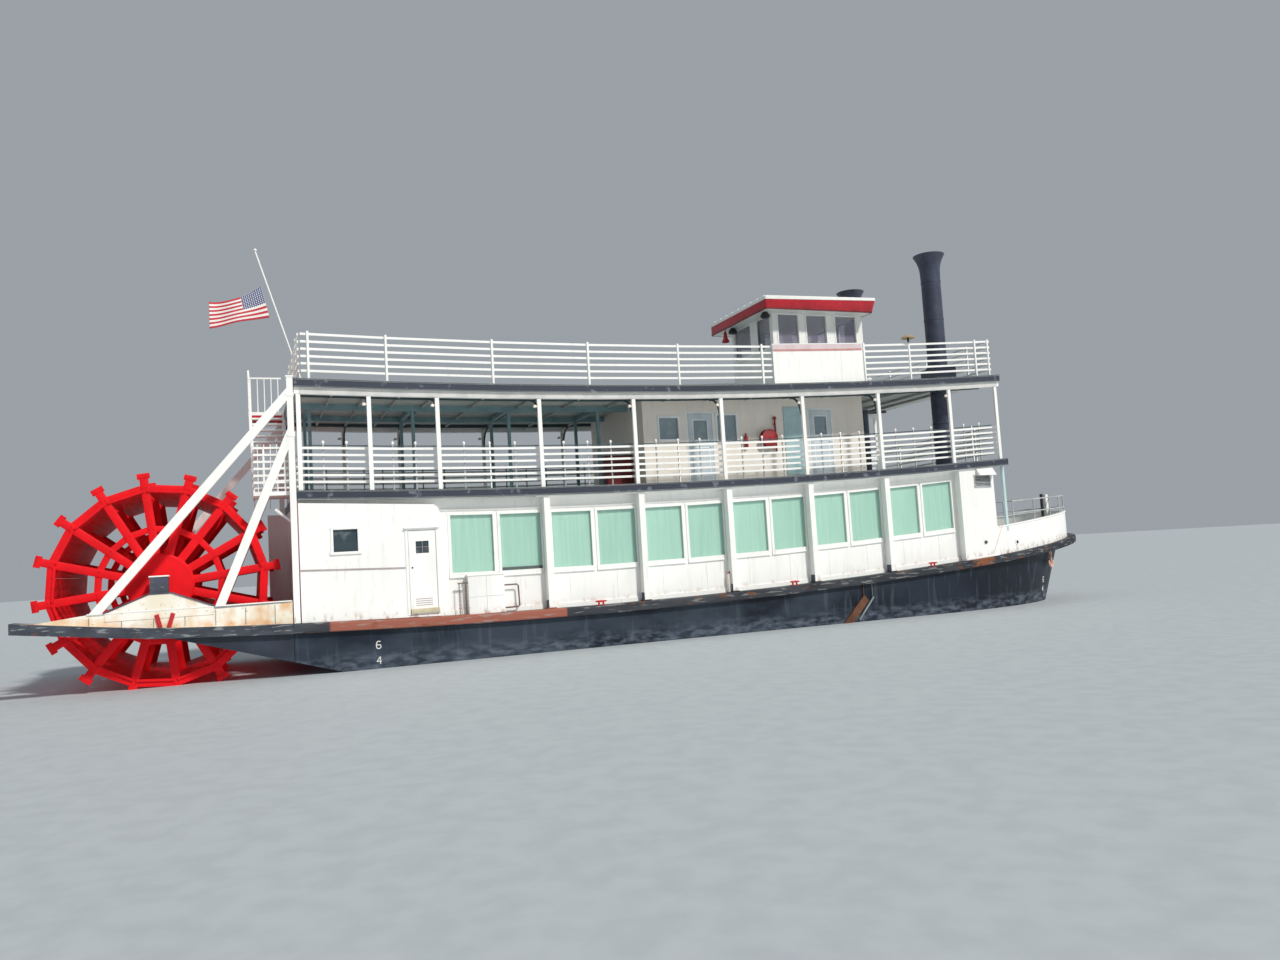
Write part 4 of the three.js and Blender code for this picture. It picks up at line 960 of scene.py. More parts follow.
def second_rail_posts(side, s):
    """Two or three thin stanchions in each bay, each under a turned knob that stands above the top bar.

    A thin dark strip runs along the inner face of the bars, just over the top one."""
    knob = [
        (0.012, 0.0),
        (0.02, 0.008),
        (0.032, 0.03),
        (0.036, 0.05),
        (0.032, 0.07),
        (0.018, 0.088),
        (0.004, 0.094),
    ]
    posts, knobs = [], []
    y = s * 2.992
    for x0, x1 in zip(COLUMNS[:-1], COLUMNS[1:]):
        count = 2 if x1 - x0 < 2 else 3
        for k in range(1, count + 1):
            x = x0 + (x1 - x0) * k / (count + 1)
            z = float(second_top(x))
            posts.append(bar((x, y, z), (x, y, z + 1.11), 0.034, 0.034, 0.004))
            knobs.append(lathe(knob, (x, y, z + 1.105), sides=16))
    piece(f"second_rail_stanchions_{side}", posts, THIN_GREY)
    piece(f"second_rail_knobs_{side}", knobs, RAIL_WHITE)
    grip = strip(-9.9, 10.5, s * 2.966, s * 2.986, above(second_top, 1.072), above(second_top, 1.096))
    piece(f"second_rail_dark_strip_{side}", [grip], BRACE)


def sun_rail_posts(side, s):
    """Posts between the rail's own, and the solid panel's cap, seam, faded band and thin red line."""
    posts = []
    y = s * SUN_RAIL_Y
    for x in (-0.19, LAMP_X, 10.48):
        posts.append(bar((x, y, sun_top(x)), (x, y, sun_top(x) + 1.15), 0.05, 0.05, 0.004))
    piece(f"sun_rail_stanchions_{side}", posts, RAIL_WHITE)
    panel = [
        strip(2.72, 5.77, s * 3.148, s * 3.195, above(sun_top, 1.125), above(sun_top, 1.15)),
        strip(5.0, 5.02, s * 3.18, s * 3.19, above(sun_top, 0.02), above(sun_top, 0.94)),
    ]
    piece(f"sun_rail_panel_trim_{side}", panel, RAIL_WHITE)
    band = strip(2.75, 5.74, s * 3.17, s * 3.19, above(sun_top, 0.96), above(sun_top, 1.12))
    piece(f"sun_rail_panel_band_{side}", [band], PINK)
    line = strip(2.75, 5.74, s * 3.17, s * 3.193, above(sun_top, 0.93), above(sun_top, 0.985))
    piece(f"sun_rail_panel_line_{side}", [line], FADED_RED)


def ceiling_beams():
    """Slim pale channels across the boat under the sun deck, two long dark stringers, and arch braces."""
    channels = []
    for x in [x for x0, x1 in zip(COLUMNS[:-1], COLUMNS[1:]) for x in (x0, (x0 + x1) / 2)]:
        top = float(sun_top(x)) - DECK_PLATE - 0.003
        in_cabin = CABIN_AFT < x < CABIN_FORE
        spans = [(-3.05, -CABIN_HALF), (CABIN_HALF, 3.05)] if in_cabin else [(-3.05, 3.05)]
        for a, b in spans:
            channels.append(bar((x, a, top - 0.035), (x, b, top - 0.035), 0.045, 0.07, 0.006))
    piece("ceiling_channels", channels, THIN_GREY)
    for side, s in SIDES.items():
        low, high = above(sun_top, -DECK_PLATE - 0.09), above(sun_top, -DECK_PLATE - 0.004)
        stringers = [strip(-10.0, 10.6, s * 2.42, s * 2.47, low, high)]
        turn = np.linspace(0, math.pi / 2, 9)
        arches = []
        for x in COLUMNS[:-1]:
            top = float(sun_top(x)) - DECK_PLATE - 0.1
            y = 3.05 - 0.55 * (1 - np.cos(turn))
            z = top - 0.55 + 0.55 * np.sin(turn)
            path = np.stack([x + 0 * y, s * y, z], -1)
            arches.append(sweep(rounded(0.05, 0.05, 0.01), path, (1, 0, 0)))
        piece(f"ceiling_braces_{side}", [*stringers, *arches], BRACE)


def lamp_brackets(side, s):
    """A small creamy cup lamp on a short arm, on the aft face of each upper column."""
    cup = [(0.012, 0.03), (0.035, 0.015), (0.05, -0.02), (0.046, -0.045), (0.008, -0.05)]
    forms = []
    y = s * 3.155
    for x in COLUMNS[1:-1]:
        z = float(sun_top(x)) - DECK_PLATE - 0.33
        forms.append(bar((x - 0.045, y, z), (x - 0.10, y, z), 0.022, 0.022))
        forms.append(lathe(cup, (x - 0.115, y, z), sides=16))
    piece(f"column_lamps_{side}", forms, CREAM)


def deck_counter():
    """A dark red counter with a pale top on the open deck, aft of the cabin."""
    floor = float(second_top(-1.35))
    body = block(-1.75, -0.98, -1.3, -0.7, floor + 0.002, floor + 0.97, 0.02)
    piece("deck_counter", [body], COUNTER)
    top = block(-1.78, -0.96, -1.33, -0.67, floor + 0.965, floor + 1.0, 0.01)
    piece("deck_counter_top", [top], THIN_GREY)


# Upper cabin
CABIN_AFT, CABIN_FORE = -0.95, 6.35
CABIN_DOORS = {"aft": (0.43, 1.19), "fore": (4.42, 5.17)}
CABIN_WINDOWS = [(-0.45, 0.12, 1.29, 1.89), (1.36, 1.96, 1.20, 1.93)]


def trim_round(x0, x1, z0, z1, face, s, width=0.06, proud=0.016):
    """Four flat boards round an opening in a wall that faces starboard or port."""
    back = face - s * 0.01
    out = face + s * proud
    return [
        block(x0 - width, x0, back, out, z0 - width, z1 + width),
        block(x1, x1 + width, back, out, z0 - width, z1 + width),
        block(x0 - width, x1 + width, back, out + s * 0.004, z1, z1 + width),
        block(x0 - width, x1 + width, back, out + s * 0.008, z0 - width, z0),
    ]


def upper_cabin_trim(side, s):
    """Boards round windows and doors, panes, the doors' mouldings and knobs, and a slotted panel."""
    face = s * CABIN_HALF
    trims, panes = [], []
    for x0, x1, low, high in CABIN_WINDOWS:
        z = second_top(x0)
        trims += trim_round(x0, x1, z + low, z + high, face, s)
        panes.append(block(x0, x1, face - s * 0.04, face - s * 0.033, z + low, z + high))
    piece(f"cabin_window_trim_{side}", trims, FRAME_BLUE)
    piece(f"cabin_window_panes_{side}", panes, BLIND_GLASS)
    frames = []
    for name, (x0, x1) in CABIN_DOORS.items():
        z = second_top(x0)
        frames += trim_round(x0, x1, z + 0.07, z + 2.0, face, s, 0.055, 0.006)
        body = f"upper_cabin_door_{name}_{side}"
        leaf = s * (CABIN_HALF + 0.005)
        a, b = x0 + 0.168, x1 - 0.168
        pane = block(a, b, leaf - s * 0.028, leaf - s * 0.022, z + 1.25, z + 1.8)
        piece(f"{body}_pane", [pane], BLIND_GLASS, body)
        rails = trim_round(a, b, z + 1.25, z + 1.8, leaf, s, 0.03, 0.006)
        lower = trim_round(x0 + 0.15, x1 - 0.148, z + 0.3, z + 1.0, leaf, s, 0.03, 0.005)
        knob = [(0.01, 0), (0.025, 0.012), (0.025, 0.03), (0.008, 0.04)]
        grip = lathe(knob, (x1 - 0.09, leaf if s > 0 else leaf - 0.04, z + 1.05), "Y", 16)
        piece(f"{body}_mouldings", rails + lower + [grip], FRAME_BLUE, body)
    piece(f"cabin_door_frames_{side}", frames, FRAME_BLUE)
    panel = block(3.54, 4.13, face - s * 0.01, face + s * 0.03, second_top(3.8) + 0.1, 7.42)
    slots = np.arange(5.75, 6.1, 0.05)
    vents = [block(3.6, 4.07, face + s * 0.02, face + s * 0.04, z, z + 0.02) for z in slots]
    piece(f"cabin_panel_{side}", [panel, *vents], PANEL_BLUE)


def hose_reel(side, s):
    """A drum with a coil of flat red hose between two discs, on a wall bracket, by its red standpipe."""
    y = s * (CABIN_HALF + 0.12)
    x, z = 2.94, 6.49
    centre = (x, y, z)
    disc = [(0.03, -0.095), (0.25, -0.09), (0.26, -0.085), (0.26, -0.078), (0.03, -0.075)]
    drum = [(0.1, -0.06), (0.2, -0.06), (0.2, 0.06), (0.1, 0.06)]
    turned = [disc, [(r, -h) for r, h in disc], drum]
    turned += [circle(0.018, 10) + [0.2, h] for h in (-0.04, 0.0, 0.04)]
    reel = [lathe(profile, centre, "Y", 40, loop=True) for profile in turned]
    arm = block(x - 0.04, x + 0.04, s * (CABIN_HALF - 0.01), y + s * 0.11, z - 0.03, z + 0.03)
    piece(f"hose_reel_{side}", [*reel, arm], HOSE_RED)
    face = s * (CABIN_HALF + 0.06)
    pipe = rod((3.21, face, 6.1), (3.21, face, 7.05), 0.025, 16)
    hooks = [block(3.18, 3.24, s * (CABIN_HALF - 0.01), face, h, h + 0.03) for h in (6.3, 6.9)]
    valve = [(0.02, 0.0), (0.05, 0.01), (0.055, 0.06), (0.03, 0.09), (0.01, 0.1)]
    head = lathe(valve, (3.21, face, 7.04), sides=20)
    piece(f"standpipe_{side}", [pipe, *hooks, head], HOSE_RED)
    flask = [
        (0.01, 0.0),
        (0.05, 0.01),
        (0.055, 0.03),
        (0.055, 0.30),
        (0.03, 0.36),
        (0.02, 0.42),
        (0.005, 0.43),
    ]
    bottle = lathe(flask, (2.23, face, 6.22), sides=20)
    clip = block(2.19, 2.27, s * (CABIN_HALF - 0.01), face, 6.36, 6.39)
    piece(f"fire_bottle_{side}", [bottle, clip], HOSE_RED)


# Sun deck: stacks, pilothouse
STACK_X, STACK_Y, STACK_R, STACK_TOP = 9.27, 2.2, 0.3, 12.3


def stacks(side, s):
    """A turned skin: straight barrel with rolled bands, flaring to a crown, hollow at the top."""
    deck = float(second_top(9.67)) + 0.001
    profile = [(0.02, deck), (STACK_R, deck)]
    for z in (deck + 1.3, 8.9, 10.2, STACK_TOP - 0.88):
        band = STACK_R + 0.012
        profile += [(STACK_R, z - 0.03), (band, z - 0.02), (band, z + 0.02), (STACK_R, z + 0.03)]
    rise = np.linspace(0, 1, 9)
    flare = np.stack([STACK_R + 0.01 + 0.18 * rise**2.2, STACK_TOP - 0.62 + 0.62 * rise], -1)
    lip = [(0.49, 0), (0.47, 0), (0.3, 0.4), (0.24, 0.6), (0.02, 0.7)]
    whole = profile + [tuple(p) for p in flare[:-1]] + [(r, STACK_TOP - drop) for r, drop in lip]
    foot, top = above(sun_top, 0.42), above(sun_top, 0.45)
    collar = [(0.29, 0), (0.36, 0), (0.36, 0.03), (0.33, 0.06), (0.29, 0.06)]
    shell = lathe(whole, (STACK_X, s * STACK_Y, 0), sides=64)
    made = piece(f"stack_shell_{side}", [shell], STACK)
    base = strip(STACK_X - 0.38, STACK_X + 0.38, s * 1.82, s * 2.58, above(sun_top, 0.001), foot)
    rim = strip(STACK_X - 0.4, STACK_X + 0.4, s * 1.8, s * 2.6, foot, top)
    ring = lathe(collar, (STACK_X, s * STACK_Y, float(top(STACK_X))), sides=48, loop=True)
    piece(f"stack_base_{side}", [base, rim, ring], STACK)
    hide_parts(f"stack_{side}")


HOUSE = {"aft": 3.88, "fore": 7.15, "half": 1.33}
ROOF_BOX = {"aft": 3.39, "fore": 7.35, "half": 1.86, "low": 10.46, "high": 10.86}
ROOF_BAND = 0.11
ROOF_LEAN = 0.15
HOUSE_SILL, HOUSE_HEAD = 9.48, 10.43
ROOF_NUBS = 9
SIDE_PANES = [(4.08, 4.79), (5.09, 5.8), (6.15, 6.89)]


def pilothouse_roof():
    """A red fascia all round that leans back at the front, with a darker lip, and a crowned white top.

    The fascia's front end moves aft with its depth below the white band, by ROOF_LEAN at its foot.
    Each upper line rises evenly along the roof by its own small amount."""
    a, f, h = ROOF_BOX["aft"], ROOF_BOX["fore"], ROOF_BOX["half"]
    low, high = ROOF_BOX["low"], ROOF_BOX["high"]
    band = high - ROOF_BAND

    def loop(inset, z):
        """The roof's plan line at an inset from its box, at a height that rises forward."""
        front = f - ROOF_LEAN * max(0.0, (band - z) / (band - low))
        corners = rounded(front - a - 2 * inset, 2 * (h - inset), 0.06, 4)
        x = corners[:, 0] + (a + front) / 2
        rise = np.interp(z, [low + 0.05, band, high], [0, 0.10, 0.08])
        return np.stack([x, corners[:, 1], z + rise * (x - a) / (f - a)], -1)

    def skin(levels, joined=False):
        """A closed form through plan lines, each given as inset and height."""
        return [rings(np.stack([loop(inset, z) for inset, z in levels]), joined)]

    fascia = [(0.30, low), (0.02, low), (0, low + 0.03), (0, band - 0.01), (0.02, band), (0.3, band)]
    made = piece("roof_fascia", skin(fascia), ROOF)
    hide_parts("pilothouse_roof")
    lip = [(0.03, low - 0.004), (-0.006, low - 0.004), (-0.006, low + 0.035), (0.03, low + 0.035)]
    piece("roof_lip", skin(lip, True), COUNTER)
    crown = [(0.05, band - 0.005), (-0.01, band), (-0.015, high - 0.02), (0.0, high)]
    crown += [(0.25, high + 0.02), (0.7, high + 0.05), (1.3, high + 0.07)]
    piece("roof_top", skin(crown), WHITE)
    piece("roof_soffit", skin([(0.02, low + 0.012), (0.02, low - 0.001)]), WHITE)
    nub = [(0.01, 0.0), (0.04, 0.004), (0.045, 0.03), (0.03, 0.05), (0.01, 0.055)]
    across = [-h + 2 * h * (i + 0.5) / ROOF_NUBS for i in range(ROOF_NUBS)]
    nubs = [lathe(nub, (a + 0.08, y, high), sides=14) for y in across]
    piece("roof_edge_nubs", nubs, RAIL_WHITE)
    cup = [(0.02, 0.0), (0.07, -0.01), (0.13, -0.07), (0.15, -0.15), (0.12, -0.18), (0.02, -0.18)]
    lamps = [lathe(cup, (a + 0.2, y, low - 0.002), sides=20) for y in (0.69, -1.44)]
    piece("roof_eave_lamps", lamps, BLACK)
    horn = [(0.03, 0.0), (0.05, -0.03), (0.07, -0.2), (0.13, -0.34), (0.11, -0.35), (0.01, -0.28)]
    piece("roof_bell", [lathe(horn, (a + 0.18, 1.19, low - 0.002), sides=20)], RED)


def pilothouse_trim():
    """Boards round the pilothouse's windows and a moulding under them, the helm inside, and a roof lamp."""
    helm = (6.3, 0, 9.1)
    trims = []
    for s in SIDES.values():
        face = s * HOUSE["half"]
        for x0, x1 in SIDE_PANES if s < 0 else SIDE_PANES[1:]:
            trims += trim_round(x0, x1, HOUSE_SILL, HOUSE_HEAD, face, s, 0.05, 0.014)
        ends = (HOUSE["aft"] - 0.03, HOUSE["fore"] + 0.03)
        trims.append(block(*ends, face - s * 0.01, face + s * 0.03, 9.36, 9.41))
    for x, way in ((HOUSE["aft"], -1), (HOUSE["fore"], 1)):
        trims.append(bar((x + way * 0.012, -1.33, 9.385), (x + way * 0.012, 1.33, 9.385), 0.04, 0.05))
    trims.append(block(HOUSE["aft"] - 0.02, HOUSE["aft"] + 0.01, -0.40, -0.05, HOUSE_SILL, HOUSE_HEAD))
    piece("pilothouse_window_trim", trims, RAIL_WHITE)
    console = [
        block(6.5, 6.95, -0.9, 0.9, float(sun_top(6.7)) + 0.01, 9.1, 0.02),
        bar((6.4, -0.9, 9.16), (6.4, 0.9, 9.16), 0.5, 0.06, 0.01),
    ]
    piece("pilothouse_console", console, HELM_GREEN)
    rim = lathe(circle(0.022, 12) + [0.42, 0], helm, "X", 48, loop=True)
    spokes = []
    for i in range(8):
        angle = i * math.pi / 4
        tip = np.array([0, 0.53 * math.cos(angle), 0.53 * math.sin(angle)])
        spokes.append(rod(helm, tip + helm, 0.016, 10))
    hub = lathe([(0.01, -0.04), (0.07, -0.04), (0.07, 0.04), (0.01, 0.04)], helm, "X", 24)
    piece("helm_wheel", [rim, *spokes, hub], HELM_GREEN)
    mid = (HOUSE["aft"] + HOUSE["fore"]) / 2
    glass = [(0.01, 0), (0.06, 0), (0.06, 0.12), (0.04, 0.16), (0.01, 0.17)]
    lamp = lathe(glass, (mid, 0, ROOF_BOX["high"] + 0.06), sides=24)
    piece("roof_lamp", [lamp], RAIL_WHITE)


def mushroom_lamp(side, s):
    """A post lamp with a wide domed cap on each sun deck rail, aft of the stack."""
    x = LAMP_X
    z = float(sun_top(x)) + 1.15
    shade = [(0.02, 0.14), (0.2, 0.11), (0.21, 0.13), (0.17, 0.17), (0.1, 0.2), (0.02, 0.215)]
    y = s * SUN_RAIL_Y
    stem = [rod((x, y, z - 0.02), (x, y, z + 0.14), 0.03, 16)]
    piece(f"post_lamp_stem_{side}", stem, BLACK)
    piece(f"post_lamp_{side}", [lathe(shade, (x, y, z), sides=32)], LAMP_TAN)


# Bow
HAWSE_X = 11.13
ANCHOR_X = 13.2
BULWARK_AFT = 10.23
# The bulwark's top edge, and the upper tube of the rail over it, climb forward in straight lines
bulwark_top = slope(BULWARK_AFT, 3.495, 0.095)
TUBE_AFT = 11.1
tube_height = slope(TUBE_AFT, 4.31, 0.048)
# What hangs on the hull's side hangs from under the guard
HANG_Z = 2.1


def bow_bulwark():
    """The bulwark is a thin wall on a quarter-ellipse plan, rising to the stem, under a rounded cap rail."""
    lead = np.arccos((BULWARK_AFT - BULWARK_START) / (BULWARK_STEM - BULWARK_START))
    angle = np.linspace(-lead, lead, 100)

    def line(inset, z):
        """The bulwark's plan line at an inset from its face, at heights z over x."""
        x = BULWARK_START + (BULWARK_STEM - inset - BULWARK_START) * np.cos(angle)
        y = (EDGE_HALF - inset) * np.sin(angle)
        return np.stack([x, y, z(x)], -1)

    low = above(main_top, 0.002)
    ring = np.stack([line(0.0, low), line(0.0, bulwark_top), line(0.07, bulwark_top), line(0.07, low)], 1)
    made = piece("bulwark_wall", [rings(ring)], WHITE)
    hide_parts("bow_bulwark")
    cap = sweep(rounded(0.11, 0.05, 0.018, 4), line(0.035, above(bulwark_top, 0.018)))
    piece("bulwark_cap", [cap], RAIL_WHITE)
    under = float(second_top(10.755)) - DECK_PLATE
    post = [bar((10.755, s * 3.0, 3.4), (10.755, s * 3.0, under), 0.09, 0.09, 0.01) for s in SIDES.values()]
    piece("bow_posts", post, POST_PALE)


def bow_rail_tubes():
    """Two round tubes along the bulwark's plan, on posts, rising slowly to the stem."""
    start, stem, half = BULWARK_START, BULWARK_STEM - 0.04, EDGE_HALF - 0.035
    lead = math.acos((TUBE_AFT - start) / (stem - start))
    angle = np.linspace(-lead, lead, 90)
    x = start + (stem - start) * np.cos(angle)
    y = half * np.sin(angle)

    sizes = ((0.024, 0), (0.02, 0.38))
    tubes = [sweep(circle(r, 14), np.stack([x, y, tube_height(x) - drop], -1)) for r, drop in sizes]
    posts = []
    for foot in (TUBE_AFT, 12.2, 13.2, 14.0, 14.7):
        side = half * math.sqrt(1 - ((foot - start) / (stem - start)) ** 2)
        low, high = bulwark_top(foot), tube_height(foot)
        posts += [rod((foot, y, low), (foot, y, high), 0.02, 14) for y in (-side, side)]
    made = piece("bow_rail_tubes", tubes + posts, THIN_GREY)
    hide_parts("bow_rail")


def deck_fittings(side, s):
    """Cleats, a locker with its bracket and chains, and a hose box, along the main deck."""
    horn = [
        (0.012, -0.15),
        (0.02, -0.14),
        (0.026, -0.06),
        (0.03, 0.0),
        (0.026, 0.06),
        (0.02, 0.14),
        (0.012, 0.15),
    ]
    cleats = []
    for x in (-2.84, 2.90, 7.65):
        z = float(main_top(x))
        cleats.append(lathe(horn, (x, s * 3.2, z + 0.1), "X", 14))
        cleats += [rod((x + d, s * 3.2, z), (x + d, s * 3.2, z + 0.1), 0.025, 12) for d in (-0.06, 0.06)]
        cleats.append(block(x - 0.14, x + 0.14, s * 3.15, s * 3.25, z - 0.001, z + 0.015))
    piece(f"deck_cleats_{side}", cleats, RED)
    base = float(main_top(-5.8))
    locker = [
        block(-6.24, -5.34, s * 3.0, s * 3.18, base + 0.003, 3.08, 0.01),
        block(-6.26, -5.32, s * 2.99, s * 3.2, 3.07, 3.11, 0.01),
    ]
    piece(f"deck_locker_{side}", locker, WHITE)
    seams = [
        block(-5.795, -5.785, s * 3.17, s * 3.184, base + 0.05, 3.06),
        block(-6.22, -5.36, s * 3.17, s * 3.183, 2.555, 2.565),
    ]
    piece(f"deck_locker_seams_{side}", seams, THIN_GREY)
    loop = [(-5.33, 2.80), (-5.0, 2.80), (-4.965, 2.765), (-4.95, 2.28), (-4.985, 2.245), (-5.33, 2.24)]
    bracket = sweep(circle(0.02, 12), [(x, s * 3.08, z) for x, z in loop], up=(0, 1, 0))
    piece(f"locker_bracket_{side}", [bracket], RUST_GREY)
    link = circle(0.006, 6) + [0.018, 0]
    links = []
    for x in (-6.46, -6.30):
        for i, z in enumerate(np.arange(2.18, 2.92, 0.042)):
            links.append(lathe(link, (x, s * 3.14, z), "XY"[i % 2], 10, loop=True))
    piece(f"locker_chains_{side}", links, RUST)
    hang = [block(-6.49, -6.23, s * 3.12, s * 3.16, 2.9, 2.93)]
    piece(f"locker_chain_bar_{side}", hang, RUST_GREY)
    foot = float(main_top(1.0))
    top = foot + 0.5
    box = [block(0.90, 1.09, s * 2.955, s * 3.1, foot + 0.004, top, 0.012)]
    piece(f"hose_box_{side}", box, CREAM)
    lid = [(0.004, 0.0), (0.045, 0.0), (0.045, 0.05), (0.02, 0.07), (0.004, 0.07)]
    cap = lathe(lid, (1.0, s * 3.03, top - 0.002), sides=16)
    piece(f"hose_box_cap_{side}", [cap], RED)


def hull_fittings(side, s):
    """A rusty fender board and a grey pole that hang flat on the hull, an anchor and a hawse pipe a side."""
    y = s * (float(hull_half(5.0, 1.4)) + 0.035)
    board = bar((5.24, y, 1.72), (4.48, y, 0.95), 0.22, 0.06, 0.006, (0, s, 0))
    strap = rod((5.16, y, 1.66), (5.16, y, HANG_Z), 0.012, 8)
    piece(f"fender_board_{side}", [board, strap], RUST)
    outer = y + s * 0.03
    pole = rod((5.47, outer, 1.73), (4.94, outer, 1.12), 0.03, 14)
    line = rod((5.44, outer, 1.70), (5.44, outer, HANG_Z), 0.008, 8)
    piece(f"fender_pole_{side}", [pole, line], ZINC)
    anchor(side, s)
    bulwark = bow_half(HAWSE_X, BULWARK_START, BULWARK_STEM, EDGE_HALF)
    length = BULWARK_STEM - BULWARK_START
    heading = math.atan2(EDGE_HALF * (HAWSE_X - BULWARK_START), length**2 * bulwark / EDGE_HALF)
    turn = Matrix.Rotation(-s * heading, 3, "Z")
    collar = [(0.055, -0.02), (0.085, -0.02), (0.09, 0.0), (0.085, 0.02), (0.055, 0.02)]
    lip = lathe(collar, (0, 0, 0), "Y", 24, True)
    plug = lathe([(0.001, -0.012), (0.06, -0.012), (0.06, 0.012), (0.001, 0.012)], (0, 0, 0), "Y", 24)
    place = (HAWSE_X, s * bulwark, 3.03)
    piece(f"hawse_lip_{side}", [moved(lip, turn, place)], RAIL_WHITE)
    # A black disc inside the lip: painted shade for the dark inside of the hawse pipe
    piece(f"hawse_shade_disc_{side}", [moved(plug, turn, place)], BLACK)


def anchor(side, s):
    """A bleached two-pronged anchor hanging under the guard, its arms an arc of a circle about the shank."""
    x, top, foot = ANCHOR_X, 2.66, 2.16
    y = s * (float(hull_half(x, 2.5)) + 0.09)
    run = np.array([1.0, s * (float(hull_half(x + 0.1, 2.4)) - float(hull_half(x - 0.1, 2.4))) / 0.2, 0])
    run /= np.linalg.norm(run)
    out = np.array([-run[1], run[0], 0]) * s
    middle = np.array([x, y, 0])
    stock = middle + [0, 0, top - 0.06]
    angle = np.linspace(-1.25, 1.25, 17)
    rise = foot + 0.2 - 0.2 * np.cos(angle)
    arc = middle + np.sin(angle)[:, None] * 0.2 * run + np.stack([0 * angle, 0 * angle, rise], -1)
    parts = [
        bar(middle + [0, 0, foot], middle + [0, 0, top], 0.08, 0.06, 0.012, out),
        sweep(rounded(0.065, 0.06, 0.012), arc, out),
        lathe(circle(0.011, 8) + [0.045, 0], middle + [0, 0, top + 0.03], "X", 20, loop=True),
        bar(stock - run * 0.14, stock + run * 0.14, 0.028, 0.028, 0.006),
    ]
    for tip, way in ((arc[0], -1), (arc[-1], 1)):
        heel = tip - [0, 0, 0.07] - run * way * 0.01
        point = tip + [0, 0, 0.05] + run * way * 0.03
        parts.append(bar(heel, point, 0.1, 0.022, 0.006, out))
    piece(f"anchor_{side}", parts, ANCHOR_PALE)
    hang = rod(middle + [0, 0, top + 0.03], middle + [0, 0, float(main_top(x)) - RUB_DEPTH + 0.02], 0.012, 8)
    piece(f"anchor_hanger_{side}", [hang], RUST)


def bow_fittings():
    """Two turned bitts joined by a cross bar on the fore deck, and two posts at the stem."""
    bitt = [(0.02, 0), (0.09, 0), (0.09, 0.3), (0.11, 0.33), (0.11, 0.37), (0.08, 0.4), (0.02, 0.41)]
    floor = float(main_top(14.3))
    bitts = [lathe(bitt, (14.3, y, floor), sides=24) for y in (-0.35, 0.35)]
    cross = rod((14.3, -0.55, floor + 0.2), (14.3, 0.55, floor + 0.2), 0.04, 16)
    piece("bow_bitts", [*bitts, cross], BLACK)
    post = bar((15.34, 0, float(bulwark_top(15.34)) - 0.1), (15.34, 0, 4.61), 0.14, 0.12, 0.012)
    piece("bow_post", [post], RAIL_WHITE)
    jack = bar((15.16, 0, float(bulwark_top(15.16)) - 0.3), (15.16, 0, 4.64), 0.08, 0.08, 0.01)
    piece("bow_jack_post", [jack], BLACK)


# Stern stair
PLATFORM_RAIL_Y = 3.05


def stair_trim():
    """The red edge board of the landing, and the upright bars of the platform's rails."""
    platform = float(second_top(-10.13))
    landing = platform + STOREY
    board = block(-11.03, -10.17, 1.865, 1.885, landing - 0.30, landing - 0.01)
    piece("landing_edge_board", [board], ROOF)
    xs = np.arange(-10.95, -10.4, 0.14)
    places = [(x, s * PLATFORM_RAIL_Y) for x in xs for s in SIDES.values()]
    bars = [rod((x, y, platform), (x, y, platform + 1.1), 0.011, 8) for x, y in places]
    piece("platform_rail_bars", bars, RAIL_WHITE)


# Draft figures, drawn as bent bars
SEGMENTS = {
    "6": [(0.9, 0.95), (0.3, 1.0), (0.05, 0.75), (0.0, 0.3), (0.2, 0.0), (0.75, 0.0)]
    + [(1.0, 0.25), (0.85, 0.5), (0.1, 0.5)],
    "4": [(0.75, 0.0), (0.75, 1.0), (0.0, 0.35), (1.0, 0.35)],
}


def draft_figures(side, s):
    """Figures a hand high on the hull's sides and bows, each a flat band along its strokes."""
    height, width = 0.17, 0.11
    forms = []
    for figure, x, z in (("6", -8.42, 1.52), ("4", -8.42, 1.16), ("6", 12.85, 1.67), ("4", 12.85, 1.37)):
        across = np.array([a for a, _ in SEGMENTS[figure]])
        xs = x + (across - 0.5) * width * -s
        zs = z + height * np.array([b for _, b in SEGMENTS[figure]])
        strokes = np.stack([xs, s * (hull_half(xs, zs) + 0.004), zs], -1)
        lean = float(hull_half(x + 0.05, z) - hull_half(x - 0.05, z)) / 0.1
        forms += [bar(p, q, 0.022, 0.008, 0.001, (-lean, s, 0)) for p, q in zip(strokes[:-1], strokes[1:])]
    piece(f"draft_figures_{side}", forms, FIGURE)


# Flag
HOIST_TOP = (-10.676, 10.992)
HOIST_FOOT = (-10.489, 10.147)
FLY_TOP = (-11.944, 10.513)
FLY_FOOT = (-11.944, 9.81)
STRIPES = 13
CANTON_LENGTH = 0.4
CANTON_FOOT = 6 / STRIPES
CANTON_CELLS = (27.5, 17, 1)


def flag_edges(u):
    """Heights of the flag's upper and lower edges at a share u from hoist to fly."""
    top = FLY_TOP[1] + (HOIST_TOP[1] - FLY_TOP[1]) * (1 - u) ** 2.2
    foot = HOIST_FOOT[1] + (FLY_FOOT[1] - HOIST_FOOT[1]) * u + 0.03 * np.sin(math.pi * u)
    return top, foot


